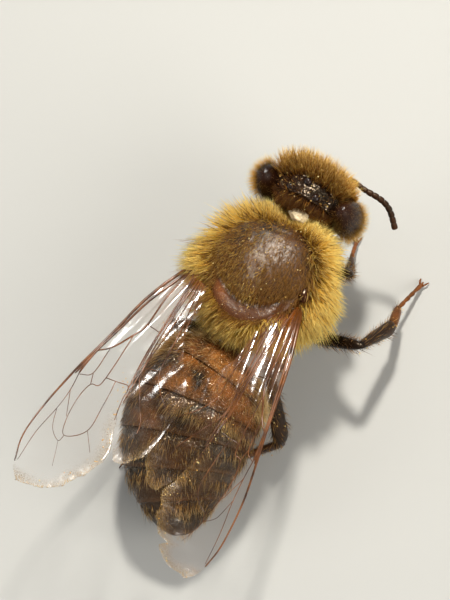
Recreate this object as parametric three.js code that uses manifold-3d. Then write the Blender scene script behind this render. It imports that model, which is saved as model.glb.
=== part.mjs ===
// Worker honey bee, life size, standing with its wings half folded over a drooping abdomen.
//
// Millimetres. While it is built the bee faces -Y, its left is +X, up is +Z, and the floor it
// stands on is z = 0. The whole bee is shifted at the end, so that the origin is the middle of
// the underside of its bounding box. The solids reach to the tips of the coat.
import * as THREE from 'three';
import { mergeVertices } from 'three/addons/utils/BufferGeometryUtils.js';
import Module from 'manifold-3d';

const wasm = await Module();
wasm.setup();

// ---------- driving dimensions ----------

const sides = { left: 1, right: -1 };
const gap = 0.04; // thin cut between neighbouring sub-parts
const leastThickness = 0.5; // of wings, legs and feelers
const facets = { body: [22, 14], eye: [14, 11], hinge: [10, 6] }; // round and up
const limbSides = 8;
const plateSides = 24;

const thorax = {
  middle: [0, 0, 3.5],
  pitch: THREE.MathUtils.degToRad(8), // nose up
  halfWidth: 2.72,
  ahead: 2.3,
  behind: 2.12,
  rise: 1.6,
  depth: 1.85,
  corner: 2.3, // 2 is a plain ovoid, more is squarer
  collarAhead: 1.35, // where the collar is cut off the front
  waistBehind: 1.3, // where the rear face is cut off
  discAbove: 0.72, // level at which the back disc starts
  shieldBehind: 1.12, // groove between the back disc and the shield behind it
};

const head = {
  middle: [-0.09, -3.02, 3.55],
  leanBack: THREE.MathUtils.degToRad(12), // top of the head leans back, mouth forward
  turn: THREE.MathUtils.degToRad(-4), // looks a little to its right
  halfWidth: 1.67,
  front: 1.46,
  back: 0.72,
  rise: 1.62,
  drop: 1.78,
  chinTaper: 0.42, // share of the width lost at the mouth
  flatness: 0.8, // 1 is a round face and back, less is flatter
  depthTaper: 0.25, // share of the chin's taper that its depth follows
};

const eye = {
  middle: [1.36, 0.0, 0.16], // aside, ahead and above the head's middle
  half: [0.5, 0.6, 1.26],
  toeIn: THREE.MathUtils.degToRad(9), // lower ends stand closer together
};

const abdomen = {
  start: [0.05, 2.42, 2.7],
  bend: [1.15, 5.3, 2.7], // pull point of the bent centre line
  tip: [-0.78, 8.25, 1.3],
  halfWidth: 2.22,
  halfHeight: 1.7,
  frontFullness: 0.42, // lower is blunter
  tipFullness: 0.62,
  cuts: [0.012, 0.17, 0.36, 0.54, 0.7, 0.84, 0.985], // along the centre line, 6 segments
  shingle: 0.035, // each plate starts this much slimmer, under the one before it
};

const wing = {
  thickness: leastThickness,
  left: { base: [2.05, 0.79, 4.6], tip: [3.82, 9.85, 5.5], roll: 0 },
  right: { base: [-1.71, 0.81, 4.6], tip: [-2.62, 10.45, 4.2], roll: THREE.MathUtils.degToRad(-3) },
  // The right pair is a little longer and narrower, with a straighter leading edge.
  fitted: {
    left: { length: 1, breadth: 1, leading: 1 },
    right: { length: 1.035, breadth: 0.95, leading: 0.74 },
  },
};

const tegula = { left: [2.0, 0.4, 4.45], right: [-1.72, 0.42, 4.68], half: [0.36, 0.38, 0.3] };

const limbEnd = { rounding: 0.72, shoulder: 0.08 }; // end's share of the radius, and of the length

// ---------- solids ----------

function solidFrom(geometry) {
  const bare = geometry.index ? geometry.clone() : mergeVertices(geometry);
  bare.deleteAttribute('normal');
  bare.deleteAttribute('uv');
  const merged = mergeVertices(bare, 1e-5);
  return new wasm.Manifold(new wasm.Mesh({
    numProp: 3,
    vertProperties: Float32Array.from(merged.attributes.position.array),
    triVerts: Uint32Array.from(merged.index.array),
  }));
}

function geometryFrom(solid) {
  const mesh = solid.getMesh();
  const geometry = new THREE.BufferGeometry();
  geometry.setAttribute('position', new THREE.BufferAttribute(mesh.vertProperties, 3));
  geometry.setIndex(new THREE.BufferAttribute(mesh.triVerts, 1));
  geometry.computeVertexNormals();
  return geometry;
}

// Moves every vertex of a geometry to the place that a function of its old place gives.
function reshape(geometry, place) {
  const position = geometry.attributes.position;
  const point = new THREE.Vector3();
  for (let i = 0; i < position.count; i += 1) {
    point.fromBufferAttribute(position, i);
    position.setXYZ(i, ...place(point).toArray());
  }
  return geometry;
}

// How far a ball swells outwards at a point on it, to be a squarer body.
function squareness(p, power) {
  return (Math.abs(p.x) ** power + Math.abs(p.y) ** power + Math.abs(p.z) ** power) ** (-1 / power);
}

// A cut can leave crumbs: only the largest body of the result is the sub-part.
function largestBody(solid) {
  const bodies = solid.decompose();
  return bodies.reduce((a, b) => (b.volume() > a.volume() ? b : a));
}

function cutBy(solid, ...cutters) {
  return largestBody(cutters.reduce((rest, cutter) => rest.subtract(cutter), solid));
}

// A box between two corners given in the frame of a 4x4 matrix.
function boxBetween(low, high, matrix) {
  const [a, b] = [new THREE.Vector3(...low), new THREE.Vector3(...high)];
  const extent = b.clone().sub(a);
  const box = new THREE.BoxGeometry(extent.x, extent.y, extent.z);
  box.translate(...a.add(b).multiplyScalar(0.5).toArray());
  return solidFrom(box.applyMatrix4(matrix));
}

// A body's own frame: tilted about its crosswise axis, then turned about the upright one.
function frameAt(middle, tilt, turn = 0) {
  return new THREE.Matrix4().makeRotationZ(turn)
    .multiply(new THREE.Matrix4().makeRotationX(tilt))
    .setPosition(...middle);
}

// ---------- thorax ----------

// Nose up turns the -Y end upwards, which is a negative turn about +X.
const thoraxFrame = frameAt(thorax.middle, -thorax.pitch);

function thoraxSolid(grow) {
  const shape = reshape(new THREE.SphereGeometry(1, ...facets.body), (p) => {
    const square = squareness(p, thorax.corner);
    return new THREE.Vector3(
      p.x * square * (thorax.halfWidth + grow),
      p.y * square * ((p.y < 0 ? thorax.ahead : thorax.behind) + grow),
      p.z * square * ((p.z > 0 ? thorax.rise : thorax.depth) + grow),
    );
  });
  return solidFrom(shape.applyMatrix4(thoraxFrame));
}

// The regions of the thorax as boxes in its own frame, where -Y is ahead: low and high corners.
const reach = 4;
const thoraxRegions = {
  pronotum: [[-reach, -reach, -reach], [reach, -thorax.collarAhead - gap, reach]],
  scutum: [[-reach, -thorax.collarAhead, thorax.discAbove], [reach, thorax.shieldBehind, reach]],
  scutellum: [[-reach, thorax.shieldBehind + gap, thorax.discAbove], [reach, reach, reach]],
  mesothorax: [[-reach, -thorax.collarAhead, -reach],
    [reach, thorax.waistBehind, thorax.discAbove - gap]],
  propodeum: [[-reach, thorax.waistBehind + gap, -reach], [reach, reach, thorax.discAbove - gap]],
};

// ---------- head ----------

// The head's own frame: +X its left, -Y ahead out of the face, +Z up through the crown.
const headFrame = frameAt(head.middle, -head.leanBack, head.turn);

function headSolid() {
  const shape = reshape(new THREE.SphereGeometry(1, ...facets.body), (p) => {
    const taper = p.z < 0 ? 1 - head.chinTaper * p.z * p.z : 1;
    const face = Math.sign(p.y) * Math.abs(p.y) ** head.flatness;
    const depth = 1 - head.depthTaper * (1 - taper);
    return new THREE.Vector3(
      p.x * head.halfWidth * taper,
      face * (p.y < 0 ? head.front : head.back) * depth,
      p.z * (p.z > 0 ? head.rise : head.drop),
    );
  });
  return solidFrom(shape.applyMatrix4(headFrame));
}

function eyeSolid(side, grow) {
  const [aside, ahead, above] = eye.middle;
  const shape = new THREE.SphereGeometry(1, ...facets.eye);
  shape.scale(...eye.half.map((half) => half + grow));
  shape.rotateY(side * eye.toeIn);
  shape.translate(side * aside, -ahead, above);
  return solidFrom(shape.applyMatrix4(headFrame));
}

// ---------- limbs ----------

// A tapered, round-ended limb from one point to another. Its section is an oval: breadth lies
// along the given direction and thickness across it.
function limbSolid(limb, grow = 0) {
  const from = new THREE.Vector3(...limb.from);
  const to = new THREE.Vector3(...limb.to);
  const along = to.clone().sub(from);
  const length = along.length();
  const [first, middle, last] = limb.radii;
  const { rounding, shoulder } = limbEnd;
  const bulges = Math.abs(middle - (first + last) / 2) > 0.01;
  const profile = [
    [0, -grow],
    [rounding * first + grow, -grow],
    [first + grow, shoulder * length],
    ...(bulges ? [[middle + grow, length / 2]] : []),
    [last + grow, (1 - shoulder) * length],
    [rounding * last + grow, length + grow],
    [0, length + grow],
  ].map(([radius, height]) => new THREE.Vector2(radius, height));
  const shape = new THREE.LatheGeometry(profile, limbSides);
  const up = along.clone().normalize();
  const broad = new THREE.Vector3(...(limb.broad ?? [0, 0, 1]));
  broad.addScaledVector(up, -broad.dot(up)).normalize();
  const thin = new THREE.Vector3().crossVectors(up, broad);
  shape.scale(limb.flatten ?? 1, 1, 1);
  shape.applyMatrix4(new THREE.Matrix4().makeBasis(thin, up, broad).setPosition(from));
  return solidFrom(shape);
}

// Jaws and sockets are given for the left side, and mirrored.
const neck = { from: [0, -2.5, 3.43], to: [0, -1.6, 3.4], radii: [0.75, 0.8, 0.8] };
const tongue = { from: [0, -3.45, 2.0], to: [0, -2.75, 1.05], radii: [0.4, 0.3, 0.25] };
const jaw = { from: [0.52, -3.75, 2.25], to: [0.29, -3.85, 1.35], radii: [0.3, 0.28, 0.25] };
const scape = { socket: [0.25, -3.72, 3.35], radii: [0.25, 0.25, 0.25] };
const waist = { from: [0, 1.7, 2.95], to: [0.07, 2.5, 2.72], radii: [0.45, 0.42, 0.4] };

// The outer part of each antenna, from its elbow to its tip.
const antennae = {
  left: [[0.95, -4.25, 3.55], [1.2, -4.5, 2.9], [1.35, -4.55, 2.1], [1.35, -4.45, 1.3]],
  right: [[-1.0, -4.18, 3.72], [-1.5, -4.02, 3.68], [-2.06, -3.99, 3.5], [-2.41, -3.87, 3.2],
    [-2.73, -3.5, 2.8]],
};

// A tube along points, with closed ends, for a curved feeler.
function feelerSolid(points, radius) {
  const path = new THREE.CatmullRomCurve3(points.map((p) => new THREE.Vector3(...p)));
  const section = new THREE.Shape();
  section.absarc(0, 0, radius, 0, 2 * Math.PI);
  return solidFrom(new THREE.ExtrudeGeometry(section, {
    extrudePath: path, steps: 8, curveSegments: 4, bevelEnabled: false,
  }));
}

// ---------- abdomen ----------

const abdomenLine = new THREE.QuadraticBezierCurve3(
  new THREE.Vector3(...abdomen.start),
  new THREE.Vector3(...abdomen.bend),
  new THREE.Vector3(...abdomen.tip),
);

// Share of the full girth at a place along the abdomen, 1 at its fullest.
function girth(s) {
  const { frontFullness: a, tipFullness: b } = abdomen;
  const fullest = a / (a + b);
  const bulge = (t) => t ** a * (1 - t) ** b;
  return bulge(s) / bulge(fullest);
}

function abdomenPoint(s, across, up, grow) {
  const along = abdomenLine.getTangent(s);
  const side = new THREE.Vector3(-along.y, along.x, 0).normalize().negate();
  const rise = new THREE.Vector3().crossVectors(side, along);
  return abdomenLine.getPoint(s)
    .addScaledVector(side, across * (abdomen.halfWidth * girth(s) + grow))
    .addScaledVector(rise, up * (abdomen.halfHeight * girth(s) + grow));
}

// A stretch of the abdomen. It starts a cut behind its share of the centre line, and its front
// is slimmer by the shingle.
function abdomenSolid({ start, end, cut = 0, shingle = 0, grow = 0 }) {
  const ahead = start + cut / abdomenLine.getLength();
  const shape = reshape(new THREE.CylinderGeometry(1, 1, 1, plateSides, 2), (p) => {
    const t = 0.5 + p.y;
    const slim = 1 - shingle * (1 - t) ** 2;
    return abdomenPoint(ahead + (end - ahead) * t, p.x * slim, p.z * slim, grow);
  });
  return solidFrom(shape);
}

// ---------- wings ----------

// Outlines in the plane of a wing: u from the hinge to the tip, v from the leading edge back.
const forewingLeading = [
  [0, -0.12], [1.8, -0.54], [4.1, -0.7], [6.5, -0.86], [7.9, -0.68], [8.8, -0.28]];
const forewingTrailing = [
  [9.25, 0.2], [8.95, 1.0], [8.5, 1.48], [7.85, 1.78], [7.0, 1.97], [6.45, 1.76], [5.9, 1.45],
  [5.1, 1.17], [2.6, 0.66], [0, 0.3]];
const hindwingOutline = [
  [0.35, 0.37], [2.6, 0.66], [5.1, 1.17], [5.9, 1.45], [6.45, 1.76], [6.95, 2.2], [6.8, 2.55],
  [6.1, 2.92], [5.2, 2.9], [4.3, 2.75], [3.6, 2.5], [3.2, 2.1], [2.7, 1.65], [2.1, 1.3],
  [1.2, 1.1], [0.5, 0.9]];

function wingPlane({ base, tip, roll }, side) {
  const hinge = new THREE.Vector3(...base);
  const along = new THREE.Vector3(...tip).sub(hinge).normalize();
  const inward = new THREE.Vector3(-side, 0, 0).addScaledVector(along, side * along.x).normalize();
  const normal = new THREE.Vector3().crossVectors(along, inward);
  if (normal.z < 0) normal.negate();
  const chord = inward.multiplyScalar(Math.cos(roll)).addScaledVector(normal, -Math.sin(roll));
  normal.crossVectors(along, chord);
  return new THREE.Matrix4().makeBasis(along, chord, normal).setPosition(hinge);
}

function plateSolid(outline, plane, thickness = wing.thickness) {
  const shape = new THREE.Shape(outline.map(([u, v]) => new THREE.Vector2(u, v)));
  const plate = new THREE.ExtrudeGeometry(shape, { depth: thickness, bevelEnabled: false });
  plate.translate(0, 0, -thickness / 2);
  return solidFrom(plate.applyMatrix4(plane));
}

function fittedOutline(outline, { length, breadth, leading }) {
  return outline.map(([u, v]) => [u * length, v * (v < 0 ? leading : breadth)]);
}

// The hindwing tucks in behind the forewing's trailing edge, a thin cut away from it. Room is
// what the forewing takes up at the hinge, with a thin cut all round.
function wingPair(sideName) {
  const plane = wingPlane(wing[sideName], sides[sideName]);
  const shift = (along, back) => plane.clone()
    .multiply(new THREE.Matrix4().makeTranslation(along * gap, back * gap, 0));
  const forewing = fittedOutline([...forewingLeading, ...forewingTrailing], wing.fitted[sideName]);
  const hindwing = fittedOutline(hindwingOutline, wing.fitted[sideName]);
  return {
    forewing: plateSolid(forewing, plane),
    hindwing: plateSolid(hindwing, shift(-0.4, 1.2)),
    room: [-1, 0, 1].map((step) => plateSolid(forewing, shift(-1, step), wing.thickness + 2 * gap)),
  };
}

// ---------- legs ----------

// Joints of each leg from the body outwards: hip, end of the hip piece, knee, shin end, heel
// end and the last foot joint, whose round underside is cut flat where it meets the floor.
const footHeight = 0.1;
const legs = {
  fore: {
    right: [[-0.5, -1.4, 2.3], [-0.85, -1.62, 1.55], [-2.22, -1.33, 3.36], [-1.66, -2.05, 1.5],
      [-1.3, -2.75, 0.8], [-1.0, -3.6, footHeight]],
    left: [[0.5, -1.4, 2.3], [0.82, -1.66, 1.55], [1.78, -1.95, 2.95], [1.72, -2.6, 1.55],
      [1.45, -3.1, 0.8], [1.05, -3.75, footHeight]],
    radii: [0.36, 0.27, 0.26, 0.25, 0.25],
  },
  middle: {
    right: [[-0.75, 0.1, 2.1], [-1.42, 0.5, 1.5], [-3.45, 0.57, 2.7], [-3.71, -0.91, 1.3],
      [-3.47, -1.78, 0.78], [-3.62, -3.05, footHeight]],
    left: [[0.75, 0.0, 2.1], [1.35, 0.3, 1.5], [2.5, -0.55, 2.85], [2.45, -0.95, 1.0],
      [2.35, -1.75, 0.5], [2.15, -2.6, footHeight]],
    radii: [0.38, 0.28, 0.28, 0.26, 0.25],
  },
  hind: {
    right: [[-0.7, 1.2, 2.1], [-1.08, 1.6, 1.45], [-1.3, 2.62, 3.2], [-2.15, 4.02, 1.0],
      [-1.0, 4.8, 0.42], [-0.6, 5.85, footHeight]],
    left: [[0.75, 1.2, 2.1], [1.15, 1.6, 1.45], [2.22, 2.3, 3.15], [2.55, 3.9, 1.15],
      [2.35, 5.35, 0.45], [2.4, 6.4, footHeight]],
    radii: [0.4, 0.29, 0.42, 0.4, 0.25],
  },
};
const legParts = ['coxa', 'femur', 'tibia', 'basitarsus', 'tarsus'];

function legLimbs(legName, leg, sideName) {
  const least = leastThickness / 2;
  const hipEnd = 0.28;
  const calf = 0.85; // thickness halfway down the shin, as a share of its end's
  return legParts.map((part, i) => {
    const full = leg.radii[i];
    const radii = {
      coxa: [full, full, hipEnd],
      femur: [least, full, least],
      tibia: [least, full * calf, full],
      basitarsus: [full, full, least],
      tarsus: [least, least, least],
    }[part];
    const flatPart = legName === 'hind' && (part === 'tibia' || part === 'basitarsus');
    return { part, from: leg[sideName][i], to: leg[sideName][i + 1], radii,
      flatten: flatPart ? leastThickness / (2 * full) : 1 };
  });
}

// ---------- the bee ----------

const looks = {
  coat: [0xb98a4a, 0.85],
  backPlate: [0x3a2a1e, 0.55],
  plate: [0x2b1d14, 0.35],
  eye: [0x140c08, 0.25],
  mouth: [0x5a3018, 0.4],
  feeler: [0x2a1810, 0.5],
  hinge: [0x3d1d10, 0.25],
  membrane: [0xc49a5c, 0.2],
  leg: [0x1f1611, 0.5],
  foot: [0x6b3c1c, 0.55],
};
const bee = new THREE.Group();

function add(name, solid, look) {
  const [color, roughness] = looks[look];
  const material = new THREE.MeshStandardMaterial({ color, roughness, metalness: 0 });
  const mesh = new THREE.Mesh(geometryFrom(solid), material);
  mesh.name = name;
  bee.add(mesh);
}

function addThorax() {
  const whole = thoraxSolid(0);
  for (const [name, [low, high]] of Object.entries(thoraxRegions)) {
    const region = boxBetween(low, high, thoraxFrame);
    add(name, largestBody(whole.intersect(region)), name.startsWith('scut') ? 'backPlate' : 'coat');
  }
}

function addHead() {
  const body = thoraxSolid(gap);
  const limbs = { neck, tongue };
  for (const [sideName, side] of Object.entries(sides)) {
    limbs[`jaw_${sideName}`] = {
      from: [side * jaw.from[0], ...jaw.from.slice(1)],
      to: [side * jaw.to[0], ...jaw.to.slice(1)],
      radii: jaw.radii,
    };
    limbs[`scape_${sideName}`] = {
      from: [side * scape.socket[0], ...scape.socket.slice(1)],
      to: antennae[sideName][0],
      radii: scape.radii,
    };
  }
  const grown = Object.fromEntries(Object.entries(limbs).map(([k, v]) => [k, limbSolid(v, gap)]));
  const headBody = cutBy(headSolid(), body, eyeSolid(1, gap), eyeSolid(-1, gap));
  add('head', cutBy(headBody, ...Object.values(grown)), 'coat');
  add('neck', cutBy(limbSolid(neck), body), 'coat');
  add('proboscis', cutBy(limbSolid(tongue), grown.jaw_left, grown.jaw_right), 'mouth');
  for (const [sideName, side] of Object.entries(sides)) {
    add(`eye_${sideName}`, eyeSolid(side, 0), 'eye');
    add(`mandible_${sideName}`, limbSolid(limbs[`jaw_${sideName}`]), 'mouth');
    add(`antenna_scape_${sideName}`, limbSolid(limbs[`scape_${sideName}`]), 'feeler');
    const whip = feelerSolid(antennae[sideName], leastThickness / 2);
    add(`antenna_flagellum_${sideName}`,
      cutBy(whip, grown[`scape_${sideName}`], headBody), 'feeler');
  }
}

function addAbdomen() {
  const { cuts, shingle } = abdomen;
  const body = thoraxSolid(gap);
  const room = abdomenSolid({ start: cuts[0], end: cuts[1], cut: -gap, grow: gap });
  add('petiole', cutBy(limbSolid(waist), body, room), 'coat');
  cuts.slice(1).forEach((end, i) => {
    const plate = abdomenSolid({ start: cuts[i], end, cut: i ? gap : 0, shingle });
    add(`abdomen_segment_${i + 1}`, cutBy(plate, body), 'plate');
  });
}

function addWings() {
  const body = thoraxSolid(gap);
  for (const sideName of Object.keys(sides)) {
    const { forewing, hindwing, room } = wingPair(sideName);
    const cap = new THREE.SphereGeometry(1, ...facets.hinge);
    cap.scale(...tegula.half);
    cap.translate(...tegula[sideName]);
    add(`forewing_${sideName}`, cutBy(forewing, body), 'membrane');
    add(`hindwing_${sideName}`, cutBy(hindwing, body), 'membrane');
    add(`tegula_${sideName}`, cutBy(solidFrom(cap), body, ...room), 'hinge');
  }
}

function addLegs() {
  const thoraxRoom = thoraxSolid(gap);
  const abdomenRoom = abdomenSolid({ start: abdomen.cuts[0], end: abdomen.cuts.at(-1), grow: gap });
  const underFloor = boxBetween([-20, -20, -5], [20, 20, 0], new THREE.Matrix4());
  for (const [legName, leg] of Object.entries(legs)) {
    for (const sideName of Object.keys(sides)) {
      const limbs = legLimbs(legName, leg, sideName);
      limbs.forEach((limb, i) => {
        const cutters = [thoraxRoom, abdomenRoom, underFloor];
        if (i) cutters.push(limbSolid(limbs[i - 1], gap));
        const look = i > 2 ? 'foot' : 'leg';
        add(`${legName}leg_${sideName}_${limb.part}`, cutBy(limbSolid(limb), ...cutters), look);
      });
    }
  }
}

addThorax();
addHead();
addAbdomen();
addWings();
addLegs();

const box = new THREE.Box3().setFromObject(bee);
const middle = box.getCenter(new THREE.Vector3());
bee.position.set(-middle.x, -middle.y, -box.min.z);

export default bee;
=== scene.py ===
import math
import bpy
import numpy as np
from mathutils import Matrix, Vector


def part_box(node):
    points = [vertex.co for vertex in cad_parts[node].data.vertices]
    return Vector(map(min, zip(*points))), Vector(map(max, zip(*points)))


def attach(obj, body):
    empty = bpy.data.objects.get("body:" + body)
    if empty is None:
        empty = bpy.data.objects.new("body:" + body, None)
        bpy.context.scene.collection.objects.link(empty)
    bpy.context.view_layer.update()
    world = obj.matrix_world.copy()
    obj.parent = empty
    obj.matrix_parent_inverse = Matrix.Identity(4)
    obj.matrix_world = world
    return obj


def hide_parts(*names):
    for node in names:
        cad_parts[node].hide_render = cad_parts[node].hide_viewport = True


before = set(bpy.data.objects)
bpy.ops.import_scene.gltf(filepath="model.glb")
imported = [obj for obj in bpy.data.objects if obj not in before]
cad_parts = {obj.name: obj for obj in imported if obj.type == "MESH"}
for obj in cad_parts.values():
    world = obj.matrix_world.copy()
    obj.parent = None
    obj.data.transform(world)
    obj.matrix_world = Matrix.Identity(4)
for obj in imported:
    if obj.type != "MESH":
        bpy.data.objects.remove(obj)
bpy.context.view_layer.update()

dice = np.random.default_rng(37)

# The bee is made in millimetres, facing -Y, its left +X, the middle of its thorax over x = y = 0.
# beeToFrame takes that space to the frame's metres.
thoraxRear = 2.1195  # how far the frame's thorax reaches behind its middle
sideNode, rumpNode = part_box("mesothorax"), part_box("propodeum")
beePlace = Vector((
    (sideNode[0][0] + sideNode[1][0]) / 2,
    rumpNode[1][1] - thoraxRear / 1000,
    0,
))
beeToFrame = Matrix.Translation(beePlace) @ Matrix.Scale(0.001, 4)
bothSides = (("left", 1), ("right", -1))
print("frame loaded, bee placed at", [round(v * 1000, 3) for v in beePlace])


def unit(v):
    return v / np.maximum(np.linalg.norm(v, axis=-1, keepdims=True), 1e-9)


def smoothStep(x, low, high):
    t = np.clip((x - low) / (high - low), 0, 1)
    return t * t * (3 - 2 * t)


def bumpAt(x, middle, width):
    return np.exp(-(((x - middle) / width) ** 2))


def turning(axis, degrees):
    return np.array(Matrix.Rotation(math.radians(degrees), 3, axis))


def waviness(points, scale, seed):
    # a smooth made-up field between -1 and 1, the same on every run
    total = 0
    for i in range(4):
        k = seed * 5.1 + i * 2.3
        way = np.array([math.sin(k + 1), math.sin(k * 1.7 + 2), math.sin(k * 2.9 + 3)])
        total = total + np.sin(points @ (way * scale * (1 + 0.37 * i)) + k * 3)
    return total / 4


def flatBasis(d):
    # two directions square to each of many
    helper = np.where(np.abs(d[:, 2:3]) < 0.9, [[0.0, 0.0, 1.0]], [[1.0, 0.0, 0.0]])
    e1 = unit(np.cross(helper, d))
    return e1, np.cross(d, e1)


def meshFromArrays(name, points, polygons):
    # polygons is a list of arrays, one for triangles and one for squares, say
    mesh = bpy.data.meshes.new(name)
    mesh.vertices.add(len(points))
    mesh.vertices.foreach_set("co", np.asarray(points, np.float32).ravel())
    corners = np.concatenate([p.ravel() for p in polygons]).astype(np.int32)
    sizes = np.concatenate([np.full(len(p), p.shape[1]) for p in polygons])
    mesh.loops.add(len(corners))
    mesh.loops.foreach_set("vertex_index", corners)
    mesh.polygons.add(len(sizes))
    mesh.polygons.foreach_set("loop_start", (np.cumsum(sizes) - sizes).astype(np.int32))
    mesh.update(calc_edges=True)
    return linked(name, mesh)


def linked(name, data):
    piece = bpy.data.objects.new(name, data)
    bpy.context.scene.collection.objects.link(piece)
    return piece


def justMade(name):
    # what the last operator made, under its name
    piece = bpy.context.active_object
    piece.name = name
    piece.data.name = name
    return piece


def pick(piece):
    bpy.ops.object.select_all(action="DESELECT")
    piece.select_set(True)
    bpy.context.view_layer.objects.active = piece


def fixNormals(piece, weld=0):
    pick(piece)
    bpy.ops.object.mode_set(mode="EDIT")
    bpy.ops.mesh.select_all(action="SELECT")
    if weld:
        bpy.ops.mesh.remove_doubles(threshold=weld)
    bpy.ops.mesh.normals_make_consistent(inside=False)
    bpy.ops.object.mode_set(mode="OBJECT")


def readPoints(piece):
    spots = np.empty(len(piece.data.vertices) * 3, np.float32)
    piece.data.vertices.foreach_get("co", spots)
    return spots.reshape(-1, 3).astype(float)


def writePoints(piece, spots):
    piece.data.vertices.foreach_set("co", np.asarray(spots, np.float32).ravel())
    piece.data.update()


def addAttributes(piece, **values):
    for name, each in values.items():
        made = piece.data.attributes.new(name, "FLOAT", "POINT")
        made.data.foreach_set("value", np.asarray(each, np.float32))


def settle(piece, material, slot, *replaced):
    # a finished piece: in the frame's metres, at the origin, riding on the bee
    piece.data.transform(beeToFrame @ piece.matrix_world)
    piece.matrix_world = Matrix.Identity(4)
    piece.data.polygons.foreach_set("use_smooth", np.full(len(piece.data.polygons), True))
    piece.data.materials.clear()
    piece.data.materials.append(material)
    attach(piece, "root")
    if replaced:
        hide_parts(*replaced)


def joinPieces(pieces, name):
    pick(pieces[0])
    for other in pieces:
        other.select_set(True)
    bpy.ops.object.join()
    return justMade(name)


def ballPiece(name, segments, rings, skin):
    # a ball whose poles lie ahead and behind, pushed out to a body's skin, and its directions
    bpy.ops.mesh.primitive_uv_sphere_add(segments=segments, ring_count=rings, radius=1,
                                         rotation=(math.pi / 2, 0, 0))
    piece = justMade(name)
    bpy.ops.object.transform_apply(rotation=True)
    d = unit(readPoints(piece))
    writePoints(piece, skin(d))
    return piece, d




# The body's skins: each gives a place for every direction out of the body's middle.
thorax = {
    "middle": (0.08, -0.05, 3.5),
    "noseUp": 8,
    "halfWidth": 1.86,
    "ahead": 1.9,
    "behind": 1.78,
    "rise": 1.42,
    "depth": 1.5,
    "squareness": 2.25,
    "shieldGroove": 1.14,  # groove behind the back disc, on the middle line
    "grooveBend": 0.40,
    "shieldLength": 0.62,
    "shieldHeight": 0.38,
    "crestHeight": 0.1,
    "collarGroove": -1.36,
}
thoraxTurn = turning("X", -thorax["noseUp"])


def pastGroove(x, y):
    return y - (thorax["shieldGroove"] - thorax["grooveBend"] * x * x)


def thoraxLocal(d):
    t = thorax
    k = (np.abs(d) ** t["squareness"]).sum(1) ** (-1 / t["squareness"])
    half = np.stack([
        np.full(len(d), t["halfWidth"]),
        np.where(d[:, 1] < 0, t["ahead"], t["behind"]),
        np.where(d[:, 2] > 0, t["rise"], t["depth"]),
    ], 1)
    spots = d * k[:, None] * half
    out = unit(spots / half ** 2)
    x, y, z = spots.T
    onTop = smoothStep(z, 0.25, 0.75)
    behind = pastGroove(x, y)
    lift = -0.085 * bumpAt(behind, 0, 0.05) * onTop
    swell = np.clip(behind / t["shieldLength"], 0, 1)
    across = np.exp(-((x / 1.2) ** 4))
    lift += t["shieldHeight"] * np.sin(np.pi * swell ** 2) * across * smoothStep(z, 0.1, 0.5)
    lift += t["crestHeight"] * bumpAt(behind, 0.38, 0.19) * bumpAt(x, -0.2, 0.6) * onTop
    lift -= 0.10 * bumpAt(behind, t["shieldLength"] + 0.06, 0.08) * across
    lift -= 0.03 * bumpAt(y, t["collarGroove"] - 0.12 * x * x, 0.1) * smoothStep(z, -0.4, 0.3)
    lift -= 0.018 * bumpAt(np.abs(x), 0.62 + 0.1 * y, 0.05) * onTop * smoothStep(-y, -0.9, 0)
    lift += 0.012 * bumpAt(x, 0, 0.04) * onTop * smoothStep(-y, -0.4, 0.6)
    # seams down the sides, between the plates that carry the legs
    side = smoothStep(-z, -0.5, 0.1)
    for seam in (-0.85, 0.35, 0.95):
        lift -= 0.05 * bumpAt(y, seam + 0.25 * z, 0.05) * side
    # hollows under the wing roots
    lift -= 0.12 * bumpAt(y, 0.55, 0.35) * bumpAt(z, 0.62, 0.22) * smoothStep(np.abs(x), 1.0, 1.5)
    return spots + out * lift[:, None]


def thoraxSkin(d):
    return thoraxLocal(d) @ thoraxTurn.T + thorax["middle"]


head = {
    "middle": (-0.09, -3.02, 3.55),
    "leanBack": 12,
    "turn": -4,
    "halfWidth": 1.53,
    "front": 0.98,
    "back": 0.46,
    "rise": 1.38,
    "drop": 1.72,
    "chinTaper": 0.5,
    "eyeAside": 1.34,
    "eyeAbove": 0.16,
    "eyeHalf": (0.47, 0.58, 1.26),
    "eyeToeIn": 9,
    "socket": (0.27, -0.2),  # of a feeler, aside and up
}
headTurn = turning("Z", head["turn"]) @ turning("X", -head["leanBack"])


def fromSocket(x, z, side):
    # how far it is to a feeler's socket, seen from the front
    aside, up = head["socket"]
    return np.hypot(x - side * aside, z - up)


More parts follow.
